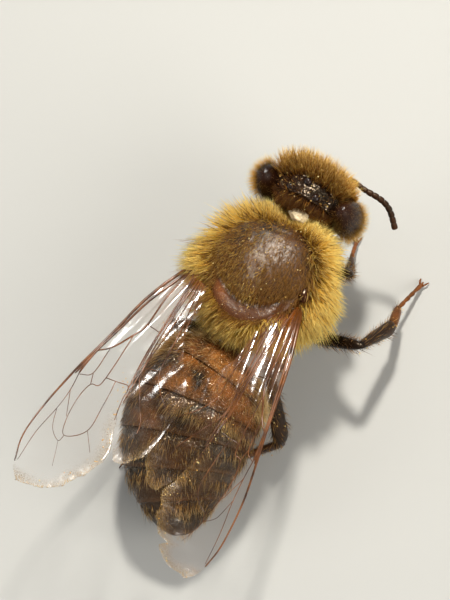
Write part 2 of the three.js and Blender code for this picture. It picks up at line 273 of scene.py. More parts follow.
def headLocal(d):
    h = head
    taper = np.where(d[:, 2] < 0, 1 - h["chinTaper"] * d[:, 2] ** 2, 1)
    face = np.sign(d[:, 1]) * np.abs(d[:, 1]) ** 0.8
    x = d[:, 0] * h["halfWidth"] * taper
    y = face * np.where(d[:, 1] < 0, h["front"], h["back"]) * (0.7 + 0.3 * taper)
    z = d[:, 2] * np.where(d[:, 2] > 0, h["rise"], h["drop"])
    ahead = smoothStep(-y, 0.15, 0.6)
    lift = 0.10 * bumpAt(x, 0, 0.62) * bumpAt(z, -0.85, 0.5) * ahead  # clypeus
    rim = np.sqrt((x / 0.66) ** 2 + ((z + 0.85) / 0.52) ** 2)
    lift -= 0.045 * bumpAt(rim, 1, 0.08) * ahead
    for _, side in bothSides:
        lift -= 0.10 * bumpAt(fromSocket(x, z, side), 0, 0.14) * ahead
    lift -= 0.03 * bumpAt(x, 0, 0.05) * smoothStep(z, 0, 0.5) * ahead
    top = smoothStep(z, 0.8, 1.25)
    lift -= 0.07 * bumpAt(np.abs(x), 0.72, 0.24) * top
    lift += 0.06 * bumpAt(x, 0, 0.35) * top
    lift += 0.05 * bumpAt(np.hypot(np.abs(x) - 0.5, y + 0.3), 0, 0.2) * top
    lift += 0.09 * bumpAt(y - 0.08 - 0.13 * np.abs(x), 0, 0.07) * smoothStep(z, 0.4, 0.9)
    lift += 0.016 * waviness(np.stack([x, y, z], 1), 17, 4) * smoothStep(z, 0.6, 0.9)
    lift -= 0.16 * bumpAt(np.hypot(x, z - 0.1), 0, 0.75) * smoothStep(y, 0.2, 0.45)  # hollow nape
    out = unit(np.stack([x / 2.6, y / 0.7, z / 2.2], 1))
    return np.stack([x, y, z], 1) + out * lift[:, None]


def headSkin(d):
    return headLocal(d) @ headTurn.T + head["middle"]


def eyeFrame(side):
    # the eye's own turn and middle in the head, and how much its ends bend inwards
    middle = np.array([side * head["eyeAside"], 0.02, head["eyeAbove"]])
    return turning("Y", side * head["eyeToeIn"]), middle, side * 0.07


def eyeSkin(side):
    tilt, middle, bend = eyeFrame(side)

    def skin(d):
        spots = d * head["eyeHalf"]
        spots[:, 0] -= bend * d[:, 2] ** 2
        return (spots @ tilt.T + middle) @ headTurn.T + head["middle"]
    return skin


def insideEyes(local, slack=0.0):
    # how deep a place in the head's own frame lies in either eye, 1 at the eye's surface
    half = np.array(head["eyeHalf"])
    depth = np.inf
    for _, side in bothSides:
        tilt, middle, bend = eyeFrame(side)
        spots = (local - middle) @ tilt
        spots[:, 0] += bend * (spots[:, 2] / half[2]) ** 2
        depth = np.minimum(depth, np.linalg.norm(spots / (half + slack), axis=1))
    return depth


abdomen = {
    "start": (0.05, 2.42, 2.7),
    "bend": (1.15, 5.3, 2.7),
    "tip": (-0.78, 8.25, 1.3),
    "halfWidth": 2.13,
    "halfHeight": 1.6,
    "frontFullness": 0.42,
    "tipFullness": 0.62,
    "cuts": (0.012, 0.17, 0.36, 0.54, 0.70, 0.84, 0.985),
    "rimHeight": 0.07,
    "bellyFrom": 0.36,  # of a half turn from below, where the belly plates begin
}


def abdomenLine(s):
    a, b, c = (np.array(abdomen[k], float) for k in ("start", "bend", "tip"))
    s = np.asarray(s, float)[:, None]
    place = a * (1 - s) ** 2 + 2 * b * s * (1 - s) + c * s ** 2
    return place, unit(2 * (b - a) * (1 - s) + 2 * (c - b) * s)


def girth(s):
    a, b = abdomen["frontFullness"], abdomen["tipFullness"]
    s = np.clip(s, 1e-4, 1 - 1e-4)
    full = a / (a + b)
    return (s / full) ** a * ((1 - s) / (1 - full)) ** b


def abdomenPoint(s, angle, lift=0.0, share=1.0):
    # angle 0 is the bee's left, a quarter turn is its back
    place, along = abdomenLine(s)
    side = unit(np.stack([along[:, 1], -along[:, 0], np.zeros(len(along))], 1))
    rise = np.cross(side, along)
    g = girth(s) * share
    wide = abdomen["halfWidth"] * g + lift
    high = abdomen["halfHeight"] * g + lift
    return place + side * (np.cos(angle) * wide)[:, None] + rise * (np.sin(angle) * high)[:, None]


def plateOf(s):
    # which plate a place along the abdomen is on, and how far along that plate
    cuts = np.array(abdomen["cuts"])
    i = np.clip(np.searchsorted(cuts, s) - 1, 0, 5)
    return i, (s - cuts[i]) / (cuts[i + 1] - cuts[i])


def abdomenSkin(s, angle):
    # the outer face of the plates: each swells towards its rear edge over the next one
    i, t = plateOf(s)
    lift = abdomen["rimHeight"] * (smoothStep(t, 0, 0.35) - 0.45) * np.where(i == 5, 0.6, 1)
    lift = lift * np.minimum(girth(s) * 1.3, 1)
    fromBelow = np.abs((angle + 1.5 * np.pi) % (2 * np.pi) - np.pi) / np.pi
    lift = lift - 0.06 * bumpAt(fromBelow, abdomen["bellyFrom"], 0.03) * girth(s)
    lift = lift - 0.05 * smoothStep(-fromBelow, -abdomen["bellyFrom"], -abdomen["bellyFrom"] + 0.05)
    return abdomenPoint(s, angle, lift)


def seen(r, g, b):
    # a colour as it looks, from 0 to 255, made linear
    return tuple((c / 12.92 if c <= 0.04045 else ((c + 0.055) / 1.055) ** 2.4)
                 for c in (r / 255, g / 255, b / 255))


socketNames = {
    "roughness": "Roughness",
    "ior": "IOR",
    "specular": "Specular IOR Level",
    "tint": "Specular Tint",
}
warmReflectionTint = (1.0, 0.8, 0.56, 1.0)  # a warm tint painted onto the shells' reflections seen straight on, a painted reflection of warm surroundings


def newMaterial(name, **sockets):
    material = bpy.data.materials.new(name)
    material.use_nodes = True
    skin = material.node_tree.nodes["Principled BSDF"]
    for key, value in sockets.items():
        skin.inputs[socketNames[key]].default_value = value
    return material, skin


def isSocket(value):
    return isinstance(value, bpy.types.NodeSocket)


def plug(socket, value):
    # a link where the value comes from another node, else the value itself
    if isSocket(value):
        socket.id_data.links.new(value, socket)
    elif socket.type == "RGBA":
        value = [value] * 3 if isinstance(value, (int, float)) else list(value)
        socket.default_value = (value + [1])[:4]
    else:
        socket.default_value = value


def node(tree, kind, inputs=None, **settings):
    made = tree.nodes.new("ShaderNode" + kind)
    for key, value in settings.items():
        setattr(made, key, value)
    for key, value in (inputs or {}).items():
        plug(made.inputs[key], value)
    return made


def objectSpot(skin):
    return node(skin.id_data, "TexCoord").outputs["Object"]


def attribute(skin, name):
    return node(skin.id_data, "Attribute", attribute_name=name).outputs["Fac"]


def noise(spot, scale, detail=2.0, roughness=0.5, distortion=0.0):
    return node(spot.id_data, "TexNoise", {
        "Vector": spot, "Scale": scale, "Detail": detail, "Roughness": roughness,
        "Distortion": distortion}).outputs["Fac"]


def cells(spot, scale, feature="F1", randomness=1.0):
    return node(spot.id_data, "TexVoronoi", {
        "Vector": spot, "Scale": scale, "Randomness": randomness},
        feature=feature).outputs["Distance"]


def ramp(factor, *stops):
    # stops are (place, colour) or (place, grey)
    made = node(factor.id_data, "ValToRGB", {"Fac": factor})
    elements = made.color_ramp.elements
    while len(elements) < len(stops):
        elements.new(0.5)
    for element, (place, color) in zip(elements, stops):
        element.position = place
        color = [color] * 3 if isinstance(color, (int, float)) else color
        element.color = (*color, 1)
    return made.outputs["Color"]


def combined(tree, kind, inputs, values, **settings):
    made = node(tree, kind, **settings)
    for key, value in zip(inputs, values):
        plug(made.inputs[key], value)
    return made.outputs


def treeOf(values):
    return next(value.id_data for value in values if isSocket(value))


def mixed(factor, a, b):
    values = (factor, a, b)
    return combined(treeOf(values), "Mix", (0, 6, 7), values, data_type="RGBA")[2]


def layered(color, *layers):
    # each layer is where it lies and its colour
    for mask, over in layers:
        color = mixed(mask, color, over)
    return color


def sums(way, *values, clamp=False):
    return combined(treeOf(values), "Math", (0, 1), values, operation=way, use_clamp=clamp)[0]


def times(a, b, clamp=False):
    return sums("MULTIPLY", a, b, clamp=clamp)


def plus(a, b):
    return sums("ADD", a, b)


def maximum(a, b):
    return sums("MAXIMUM", a, b)


def dress(skin, color, roughness=None, height=None, depth=0):
    # gives a material its colour, roughness and fine relief, the depth in metres
    plug(skin.inputs["Base Color"], color)
    if roughness is not None:
        plug(skin.inputs["Roughness"], roughness)
    if height is not None:
        relief = node(skin.id_data, "Bump", {"Height": height, "Distance": depth, "Strength": 1})
        plug(skin.inputs["Normal"], relief.outputs["Normal"])


def makeGroup(name, **inputs):
    # a group over a place, its other inputs plain numbers
    group = bpy.data.node_groups.new(name, "ShaderNodeTree")
    group.interface.new_socket("Vector", in_out="INPUT", socket_type="NodeSocketVector")
    for label, value in inputs.items():
        socket = group.interface.new_socket(label, in_out="INPUT", socket_type="NodeSocketFloat")
        socket.default_value = value
    return group, group.nodes.new("NodeGroupInput").outputs


def giveOut(group, **results):
    for label in results:
        group.interface.new_socket(label, in_out="OUTPUT", socket_type="NodeSocketFloat")
    made = group.nodes.new("NodeGroupOutput")
    for label, value in results.items():
        plug(made.inputs[label], value)
    return group


def useGroup(group, **values):
    made = values["Vector"].id_data.nodes.new("ShaderNodeGroup")
    made.node_tree = group
    for key, value in values.items():
        plug(made.inputs[key], value)
    return made.outputs


def shellGrainGroup():
    # the fine leathery pattern of an insect's shell, with pits and faint blotches
    group, given = makeGroup("shellGrain", Cell=30000.0, Pits=9000.0)
    edge = sums("MINIMUM", cells(given["Vector"], given["Cell"], "DISTANCE_TO_EDGE"), 0.3)
    pit = sums("LESS_THAN", cells(given["Vector"], given["Pits"]), 0.22)
    return giveOut(group, Height=sums("SUBTRACT", edge, times(pit, 0.5)),
                   Blotch=noise(given["Vector"], 900.0, 5.0, 0.6), Pit=pit)


def dustGroup():
    # scattered pale specks of pollen and dried dust
    group, given = makeGroup("pollenDust", Scale=14000.0, Share=0.1)
    near = times(noise(given["Vector"], 1400.0, 3.0), given["Share"])
    return giveOut(group, Mask=sums("LESS_THAN", cells(given["Vector"], given["Scale"]), near))


shellGrain = shellGrainGroup()
pollenDust = dustGroup()


def dustOn(spot, **values):
    return useGroup(pollenDust, Vector=spot, **values)["Mask"]


view = {
    "aim": (0.989, 1.116, 3.436),  # millimetres in the bee's space
    "away": 130,
    "right": (-0.8853, -0.4461, -0.1312),
    "up": (0.3635, -0.8399, 0.4030),
    "lens": 245.7,
}


def addCamera():
    right = Vector(view["right"]).normalized()
    up = Vector(view["up"])
    up = (up - right * up.dot(right)).normalized()
    back = right.cross(up)
    camera = linked("camera", bpy.data.cameras.new("camera"))
    camera.data.lens = view["lens"]
    camera.data.sensor_fit = "AUTO"
    camera.data.sensor_width = 36
    camera.data.clip_start = 0.005
    camera.data.clip_end = 5
    place = beeToFrame @ (Vector(view["aim"]) + back * view["away"])
    turn = Matrix((right, up, back)).transposed().to_4x4()
    camera.matrix_world = Matrix.Translation(place) @ turn
    bpy.context.scene.camera = camera


lampTarget = Vector((0, 1, 3))
lamps = {
    "sun": {"towards": (0.10, -0.50, 0.86), "away": 90, "size": 10, "watts": 0.078,
            "color": (1.0, 0.95, 0.86)},
    "fill": {"towards": (-0.85, 0.1, 0.5), "away": 110, "size": 80, "watts": 0.076,
             "color": (1.0, 0.96, 0.88)},
    "rim": {"towards": (0.75, 0.55, 0.45), "away": 100, "size": 40, "watts": 0.018,
            "color": (1.0, 0.97, 0.92)},
    # seen only in reflections, for the sparkle of shell and wings
    "glint": {"towards": (0.10, -0.50, 0.86), "away": 90, "size": 9, "watts": 0.24,
              "color": (1.0, 0.97, 0.92)},
}


def addLamps():
    for name, lamp in lamps.items():
        data = bpy.data.lights.new(name, "AREA")
        data.shape = "DISK"
        data.size = lamp["size"] / 1000
        data.energy = lamp["watts"]
        data.color = lamp["color"]
        towards = Vector(lamp["towards"]).normalized()
        piece = linked(name, data)
        piece.location = beeToFrame @ (lampTarget + towards * lamp["away"])
        piece.rotation_euler = towards.to_track_quat("Z", "Y").to_euler()
        piece.visible_diffuse = name != "glint"


stage = {
    "backdrop": (0.76, 0.765, 0.75),
    "floor": (0.58, 0.585, 0.57),
    "floorReach": 0.6,  # metres
    "fade": (0.018, 0.08),  # metres from the middle where the floor passes into the backdrop
    "ambient": 0.26,
}


def seenRays(tree):
    # 1 for what the camera, a reflection or a clear piece looks at
    rays = node(tree, "LightPath").outputs
    return maximum(maximum(rays["Is Camera Ray"], rays["Is Glossy Ray"]),
                   rays["Is Transmission Ray"])


def addWorld():
    world = bpy.data.worlds.new("studio")
    bpy.context.scene.world = world
    world.use_nodes = True
    tree = world.node_tree
    tree.nodes.clear()
    ambient = node(tree, "Background", {"Color": (1, 1, 1, 1), "Strength": stage["ambient"]})
    pale = node(tree, "Background", {"Color": (*stage["backdrop"], 1)})
    mix = node(tree, "MixShader", {0: seenRays(tree), 1: ambient.outputs[0], 2: pale.outputs[0]})
    node(tree, "OutputWorld", {0: mix.outputs[0]})


def addFloor():
    # just under the feet
    bpy.ops.mesh.primitive_plane_add(size=2 * stage["floorReach"], location=(0, 0, -0.00002))
    floor = justMade("floor")
    material, skin = newMaterial("palePaper", roughness=0.9, specular=0.0)
    spot = objectSpot(skin)
    shade = ramp(noise(spot, 60, 3), (0.3, [c * 0.985 for c in stage["floor"]]),
                 (0.7, stage["floor"]))
    # far from the object the floor passes into the backdrop, and lights nothing by that
    span = node(skin.id_data, "VectorMath", {0: spot}, operation="LENGTH").outputs["Value"]
    near, far = stage["fade"]
    fade = ramp(span, (near, 0.0), (far, 1.0))
    dress(skin, mixed(fade, shade, (0, 0, 0)))
    pale = mixed(times(fade, seenRays(skin.id_data)), (0, 0, 0), stage["backdrop"])
    plug(skin.inputs["Emission Color"], pale)
    skin.inputs["Emission Strength"].default_value = 1
    floor.data.materials.append(material)


def shellMaterial(name, dark, light, roughness, relief=0.000004, cell=30000.0, specular=0.16,
                  lumps=0.0):
    # lumps break the shine up, as a share of the relief's depth
    material, skin = newMaterial(name, specular=specular, tint=warmReflectionTint)
    spot = objectSpot(skin)
    grain = useGroup(shellGrain, Vector=spot, Cell=cell)
    dust = dustOn(spot, Share=0.05)
    color = ramp(grain["Blotch"], (0.35, seen(*dark)), (0.65, seen(*light)))
    low, high = roughness
    rough = node(skin.id_data, "MapRange", {"Value": grain["Blotch"], "From Min": 0.3,
                                            "From Max": 0.7, "To Min": low, "To Max": high})
    height = grain["Height"]
    if lumps:
        height = plus(times(height, 0.4), times(noise(spot, 5000.0), lumps))
    dress(skin, mixed(dust, color, seen(206, 176, 96)),
          maximum(rough.outputs["Result"], times(dust, 0.8)), height, relief)
    return material


def plainMaterial(name, scale, detail, low, high, relief=0, **sockets):
    # one noise between two colours, each given as (place, colour), and its relief
    material, skin = newMaterial(name, **sockets)
    shade = noise(objectSpot(skin), scale, detail)
    color = ramp(shade, *((place, seen(*each)) for place, each in (low, high)))
    dress(skin, color, height=shade if relief else None, depth=relief)
    return material


def makeThorax():
    piece, d = ballPiece("thorax_skin", 160, 120, thoraxSkin)
    x, y, z = thoraxLocal(d).T
    behind = pastGroove(x, y)
    # the satin patch: smoother than the rest of the back plate, with a painted sheen laid into its
    # colour
    satin = bumpAt(x, 0.12, 0.42) * bumpAt(y, -0.12, 1.0) * smoothStep(z, 0.7, 1.1)
    amber = 0.4 * bumpAt(x, 0.85, 0.26) * bumpAt(behind, 0.25, 0.2) * smoothStep(z, 0.1, 0.5)
    flank = 1 - smoothStep(z, 0.35, 0.8) * (1 - smoothStep(behind, 0.6, 0.7))
    shield = smoothStep(behind, 0.06, 0.22) * smoothStep(z, 0.1, 0.4)
    addAttributes(piece, satin=satin, amber=amber, shield=shield, flank=flank)

    # a weaker warm tint painted onto this shell's reflections, a painted reflection of warm
    # surroundings
    material, skin = newMaterial("thoraxShell", specular=0.28, tint=(1.0, 0.92, 0.82, 1.0))
    spot = objectSpot(skin)
    satin, amber, shield, flank = (attribute(skin, name)
                                   for name in ("satin", "amber", "shield", "flank"))
    grain = useGroup(shellGrain, Vector=spot, Cell=42000.0, Pits=16000.0)
    mottled = ramp(noise(spot, 4200.0, 5.0, 0.7), (0.45, 0.0), (0.59, 1.0))
    color = layered(
        ramp(grain["Blotch"], (0.35, seen(28, 16, 8)), (0.65, seen(92, 56, 25))),
        # painted sheen: this pale grey over the satin patch is a painted highlight on the bare
        # middle of the back plate
        (times(times(satin, mottled, clamp=True), 0.82), seen(162, 146, 128)),
        (times(shield, 0.8), seen(86, 45, 15)),
        (amber, seen(160, 88, 32)),
        (flank, seen(140, 90, 36)),
        (times(grain["Pit"], 0.6), seen(22, 14, 10)),
        (dustOn(spot, Share=0.30, Scale=20000.0), seen(190, 140, 70)))
    rough = mixed(satin, ramp(shield, (0.0, 0.44), (1.0, 0.22)), 0.5)
    lumps = times(noise(spot, 7500.0, 1.0), ramp(shield, (0.0, 1.0), (1.0, 0.5)))
    dress(skin, color, rough, plus(times(grain["Height"], 0.1), lumps), 0.00002)
    settle(piece, material, "back_plate",
           "pronotum", "scutum", "scutellum", "mesothorax", "propodeum")


def makeHead():
    piece, _ = ballPiece("head_skin", 200, 150, headSkin)
    material = shellMaterial("headShell", (16, 9, 5), (44, 24, 12), (0.1, 0.24),
                             relief=0.000014, cell=22000.0, lumps=7.0, specular=0.24)
    settle(piece, material, "coat", "head")


def eyeMaterial():
    # thousands of little six-sided lenses, nearly black, brown where light gets in
    material, skin = newMaterial("compoundEye", roughness=0.14, specular=0.13)
    spot = objectSpot(skin)
    lenses = cells(spot, 36000.0, randomness=0.25)
    deep = ramp(noise(spot, 700.0), (0.35, seen(24, 12, 6)), (0.65, seen(56, 28, 12)))
    dress(skin, mixed(ramp(lenses, (0.3, 0.0), (0.6, 0.6)), deep, seen(10, 6, 5)),
          height=sums("SUBTRACT", 0.6, lenses), depth=0.000006)
    return material


smallEyes = {
    "places": ((0.0, 0.26), (0.27, -0.01), (-0.27, -0.01)),  # aside and ahead on the crown
    "radius": 0.145,
    "height": 0.85,  # as a share of the breadth
}


def makeEyes():
    material = eyeMaterial()
    for name, side in bothSides:
        piece, _ = ballPiece("compound_eye_" + name, 72, 60, eyeSkin(side))
        settle(piece, material, "eye", "eye_" + name)
    glass = plainMaterial("smallEye", 9000.0, 2.0, (0.3, (14, 8, 6)), (0.7, (40, 22, 13)),
                          roughness=0.05, specular=0.25)
    lenses = []
    for aside, ahead in smallEyes["places"]:
        way = unit(np.array([[aside * 1.15, -ahead, 1.0]]))
        bpy.ops.mesh.primitive_uv_sphere_add(segments=24, ring_count=14,
                                             radius=smallEyes["radius"],
                                             location=headSkin(way)[0])
        lens = justMade("lens")
        lens.scale = (1, 1, smallEyes["height"])
        bpy.ops.object.transform_apply(location=True, scale=True)
        lenses.append(lens)
    settle(joinPieces(lenses, "small_eyes"), glass, "eye")


plateColors = (
    # dark, light, and the share of amber patches on each plate's upper side
    ((40, 24, 11), (178, 116, 56), 0.5),
    ((26, 16, 8), (150, 92, 40), 0.65),
    ((17, 10, 5), (66, 38, 17), 0.35),
    ((12, 8, 4), (38, 23, 11), 0.15),
    ((11, 7, 4), (32, 20, 10), 0.10),
    ((11, 7, 4), (32, 20, 10), 0.05),
)


def abdomenMaterial(i):
    dark, light, amberShare = plateColors[i]
    material, skin = newMaterial(f"abdomenShell{i + 1}", specular=0.34, tint=warmReflectionTint)
    spot = objectSpot(skin)
    grain = useGroup(shellGrain, Vector=spot, Cell=30000.0)
    dust = dustOn(spot, Share=0.12)
    patches = ramp(noise(spot, 620.0, 3.0, distortion=0.4), (0.44, 0.0), (0.60, 1.0))
    color = layered(
        ramp(grain["Blotch"], (0.44, seen(*dark)), (0.62, seen(*light))),
        (times(times(patches, amberShare), attribute(skin, "back")), seen(150, 88, 40)),
        (times(attribute(skin, "rim"), 0.6), seen(84, 54, 30)),
        (dust, seen(196, 160, 88)))
    rough = maximum(ramp(grain["Blotch"], (0.3, 0.08), (0.7, 0.2)), times(dust, 0.8))
    ripples = sums("MINIMUM", cells(spot, 11000.0, "DISTANCE_TO_EDGE"), 0.35)
    dress(skin, color, rough, plus(times(grain["Height"], 0.4), times(ripples, 2.0)),
          0.00004 if i < 2 else 0.000014)
    return material


def plateRings(i):
    # a plate's rings from front to rear: where, how full, and if on the outer skin; its front
    # is tucked under the plate ahead, and its rear edge turns in
    start, end = abdomen["cuts"][i:i + 2]
    length = end - start
    tucked = max(start - 0.25 * length, 0.004)
    under = np.linspace(0, 1, 5, endpoint=False) if i else []
    outer = np.linspace(0, 1, 26) ** 0.9
    closing = ((0.004, 0.8), (0.006, 0.4)) if i == 5 else (
        (0.004, 0.992), (0.001, 0.972), (-0.02, 0.955))
    return ([(tucked + (start - tucked) * t, 0.955 + 0.02 * t, False) for t in under]
            + [(start + length * t, 1.0, True) for t in outer]
            + [(end + past, share, False) for past, share in closing])


def makeAbdomen():
    around = 96
    angles = np.linspace(0, 2 * np.pi, around, endpoint=False)
    j = np.arange(around)
    k = (j + 1) % around
    for i in range(6):
        start, end = abdomen["cuts"][i:i + 2]
        rings = plateRings(i)
        points = []
        for s, share, onSkin in rings:
            if onSkin:
                # stay on this plate's own swell at its two ends
                inside = np.clip(s, start + 1e-4, end - 1e-4)
                points.append(abdomenSkin(np.full(around, inside), angles))
            else:
                lift = abdomen["rimHeight"] * (0.5 if s > end - 0.03 else -0.6) * (share > 0.9)
                at = np.full(around, np.clip(s, 0.002, 0.999))
                points.append(abdomenPoint(at, angles, lift, share))
        n = len(rings)
        verts = np.concatenate([*points, [points[0].mean(0), points[-1].mean(0)]])
        quads = np.concatenate([np.stack([r * around + j, r * around + k, (r + 1) * around + k,
                                          (r + 1) * around + j], 1) for r in range(n - 1)])
        rear = (n - 1) * around
        caps = np.concatenate([np.stack([np.full(around, n * around), k, j], 1),
                               np.stack([np.full(around, n * around + 1), rear + j, rear + k], 1)])
        piece = meshFromArrays(f"abdomen_plate_{i + 1}", verts, [quads, caps])
        fixNormals(piece)
        s = np.repeat([ring[0] for ring in rings], around)
        s = np.append(s, [rings[0][0], rings[-1][0]])
        angle = np.append(np.tile(angles, n), [0, 0])
        along = np.clip((s - start) / (end - start), 0, 1)
        addAttributes(piece, rim=smoothStep(along, 0.86, 0.97),
                      back=smoothStep(np.sin(angle), -0.2, 0.5))
        settle(piece, abdomenMaterial(i), "abdomen_plate", f"abdomen_segment_{i + 1}")


def limbPiece(name, start, end, stations, broad=(0, 0, 1), sides=14, finer=1):
    # drawn out of a disc ring by ring along its own Z, then laid from start to end;
    # a station is (share of the length, half thickness, half breadth if it differs)
    start, end = Vector(start), Vector(end)
    length = (end - start).length
    stations = [(share, wides[0], wides[-1]) for share, *wides in stations]
    share, thick, wide = stations[0]
    bpy.ops.mesh.primitive_circle_add(vertices=sides, radius=1, fill_type="TRIFAN",
                                      location=(0, 0, share * length))
    piece = justMade(name)
    piece.scale = (thick, wide, 1)
    bpy.ops.object.transform_apply(location=True, scale=True)
    bpy.ops.object.mode_set(mode="EDIT")
    bpy.ops.mesh.select_all(action="SELECT")
    for nextShare, nextThick, nextWide in stations[1:]:
        step = (nextShare - share) * length
        bpy.ops.mesh.extrude_region_move(TRANSFORM_OT_translate={"value": (0, 0, step)})
        bpy.ops.transform.resize(value=(nextThick / thick, nextWide / wide, 1),
                                 center_override=(0, 0, nextShare * length))
        share, thick, wide = nextShare, nextThick, nextWide
    bpy.ops.object.mode_set(mode="OBJECT")
    fixNormals(piece)
    up = (end - start).normalized()
    broad = Vector(broad)
    broad = (broad - up * broad.dot(up)).normalized()
    lay = Matrix((broad.cross(up), broad, up)).transposed().to_4x4()
    piece.data.transform(Matrix.Translation(start) @ lay)
    if finer:
        refine = piece.modifiers.new("finer", "SUBSURF")
        refine.levels = refine.render_levels = finer
        bpy.ops.object.modifier_apply(modifier=refine.name)
    return piece


def limbMaterial(name, dark, light, roughness=(0.22, 0.4)):
    return shellMaterial(name, dark, light, roughness, relief=0.000003, cell=40000.0)


mouth = {
    # a station is (share of the length, half thickness, half breadth if it differs)
    "jaw": ((-0.06, 0.06, 0.10), (0.0, 0.13, 0.2), (0.2, 0.15, 0.2), (0.5, 0.1, 0.14),
            (0.8, 0.1, 0.2), (0.97, 0.07, 0.2), (1.03, 0.02, 0.12)),
    "lip": ((-0.05, 0.03, 0.24), (0.0, 0.06, 0.34), (0.5, 0.07, 0.36), (0.9, 0.05, 0.33),
            (1.05, 0.02, 0.26)),
    "root": ((-0.1, 0.1), (0, 0.2, 0.22), (0.5, 0.2), (0.95, 0.15), (1.05, 0.05, 0.06)),
    "sheath": ((-0.03, 0.04), (0, 0.08, 0.12), (0.4, 0.06, 0.13), (0.8, 0.05, 0.1),
               (1.02, 0.01, 0.02)),
    "tongue": ((-0.03, 0.03), (0, 0.06), (0.5, 0.05), (0.9, 0.045), (1.0, 0.07), (1.06, 0.02)),
}


def makeMouth():
    brown = limbMaterial("mouthShell", (50, 25, 12), (104, 56, 27), (0.18, 0.34))
    dark = limbMaterial("jawShell", (42, 20, 11), (104, 50, 22), (0.16, 0.3))
    for name, side in bothSides:
        jaw = limbPiece("jaw_" + name, (side * 0.56, -3.72, 2.28), (side * 0.13, -3.86, 1.47),
                        mouth["jaw"], broad=(side * 0.5, -0.2, 0.6))
        settle(jaw, dark, "mouthparts", "mandible_" + name)
    lip = limbPiece("upper_lip", (0, -3.93, 2.32), (0, -3.90, 2.0), mouth["lip"],
                    broad=(1, 0, 0))
    settle(lip, brown, "mouthparts")
    parts = [limbPiece("tongue_root", (0, -3.3, 2.15), (0, -3.15, 1.6), mouth["root"])]
    for side in (1, -1):  # the two sheaths that fold round the tongue
        parts.append(limbPiece("sheath", (side * 0.12, -3.3, 2.0), (side * 0.06, -2.82, 1.16),
                               mouth["sheath"]))
    parts.append(limbPiece("tongue", (0, -3.2, 1.7), (0, -2.78, 1.05), mouth["tongue"]))
    settle(joinPieces(parts, "tongue_and_sheaths"), brown, "mouthparts", "proboscis")


feeler = {
    "ahead": 0.88,  # of the head's middle, where it leaves the socket
    "left": ((0.95, -4.25, 3.55), (1.2, -4.5, 2.9), (1.35, -4.55, 2.1), (1.35, -4.45, 1.3)),
    "right": ((-1.0, -4.18, 3.72), (-1.5, -4.02, 3.68), (-2.06, -3.99, 3.5),
              (-2.41, -3.87, 3.2), (-2.73, -3.5, 2.8)),
    "rings": 11,
    "radius": 0.105,
    "shaft": ((-0.02, 0.04), (0.0, 0.08), (0.3, 0.085), (0.85, 0.11), (0.98, 0.09),
              (1.03, 0.03)),
    # a ring's shape as shares of the radius
    "ring": ((0.0, 0.8), (0.12, 0.95), (0.5, 1), (0.86, 1), (0.97, 0.9)),
    "ringStart": (-0.06, 0.02),
    "ringEnd": ((1.0, 0.05),),
    "tip": ((1.08, 0.05), (1.12, 0.01)),
}


def alongCurve(points, count):
    # evenly spread places on a smooth curve through a few points
    p = np.array(points, float)
    p = np.vstack([2 * p[0] - p[1], p, 2 * p[-1] - p[-2]])
    fine = []
    for i in range(1, len(p) - 2):
        t = np.linspace(0, 1, 24, endpoint=False)[:, None]
        a, b, c, d = p[i - 1:i + 3]
        fine.append(0.5 * (2 * b + (c - a) * t + (2 * a - 5 * b + 4 * c - d) * t ** 2
                           + (3 * b - a - 3 * c + d) * t ** 3))
    fine = np.vstack(fine + [p[-2:-1]])
    run = np.append(0, np.cumsum(np.linalg.norm(np.diff(fine, axis=0), axis=1)))
    at = np.linspace(0, run[-1], count)
    return np.stack([np.interp(at, run, fine[:, k]) for k in range(fine.shape[1])], 1)


def makeFeelers():
    material = limbMaterial("feelerShell", (24, 14, 9), (58, 32, 18), (0.3, 0.5))
    r = feeler["radius"]
    for name, side in bothSides:
        aside, up = head["socket"]
        socket = headTurn @ np.array([side * aside, -feeler["ahead"], up]) + head["middle"]
        reach = np.array(feeler[name][0]) - socket
        knob = limbPiece("knob", socket, socket + reach * 0.1,
                         ((-0.2, 0.05), (0, r), (0.7, r), (1.1, 0.05)))
        shaft = limbPiece("scape", socket + reach * 0.08, feeler[name][0], feeler["shaft"])
        settle(joinPieces([knob, shaft], "antenna_shaft_" + name), material, "antenna",
               "antenna_scape_" + name)
        path = alongCurve(feeler[name], feeler["rings"] + 1)
        rings = []
        for i in range(feeler["rings"]):
            grow = 0.72 + 0.28 * min(i / 3, 1)
            tip = i == feeler["rings"] - 1
            stations = [(share, r * wide * grow) for share, wide in feeler["ring"]]
            end = feeler["tip"] if tip else feeler["ringEnd"]
            stations = [feeler["ringStart"], *stations, *end]
            rings.append(limbPiece("ring", path[i], path[i + 1], stations, sides=16))
        settle(joinPieces(rings, "antenna_lash_" + name), material, "antenna",
               "antenna_flagellum_" + name)


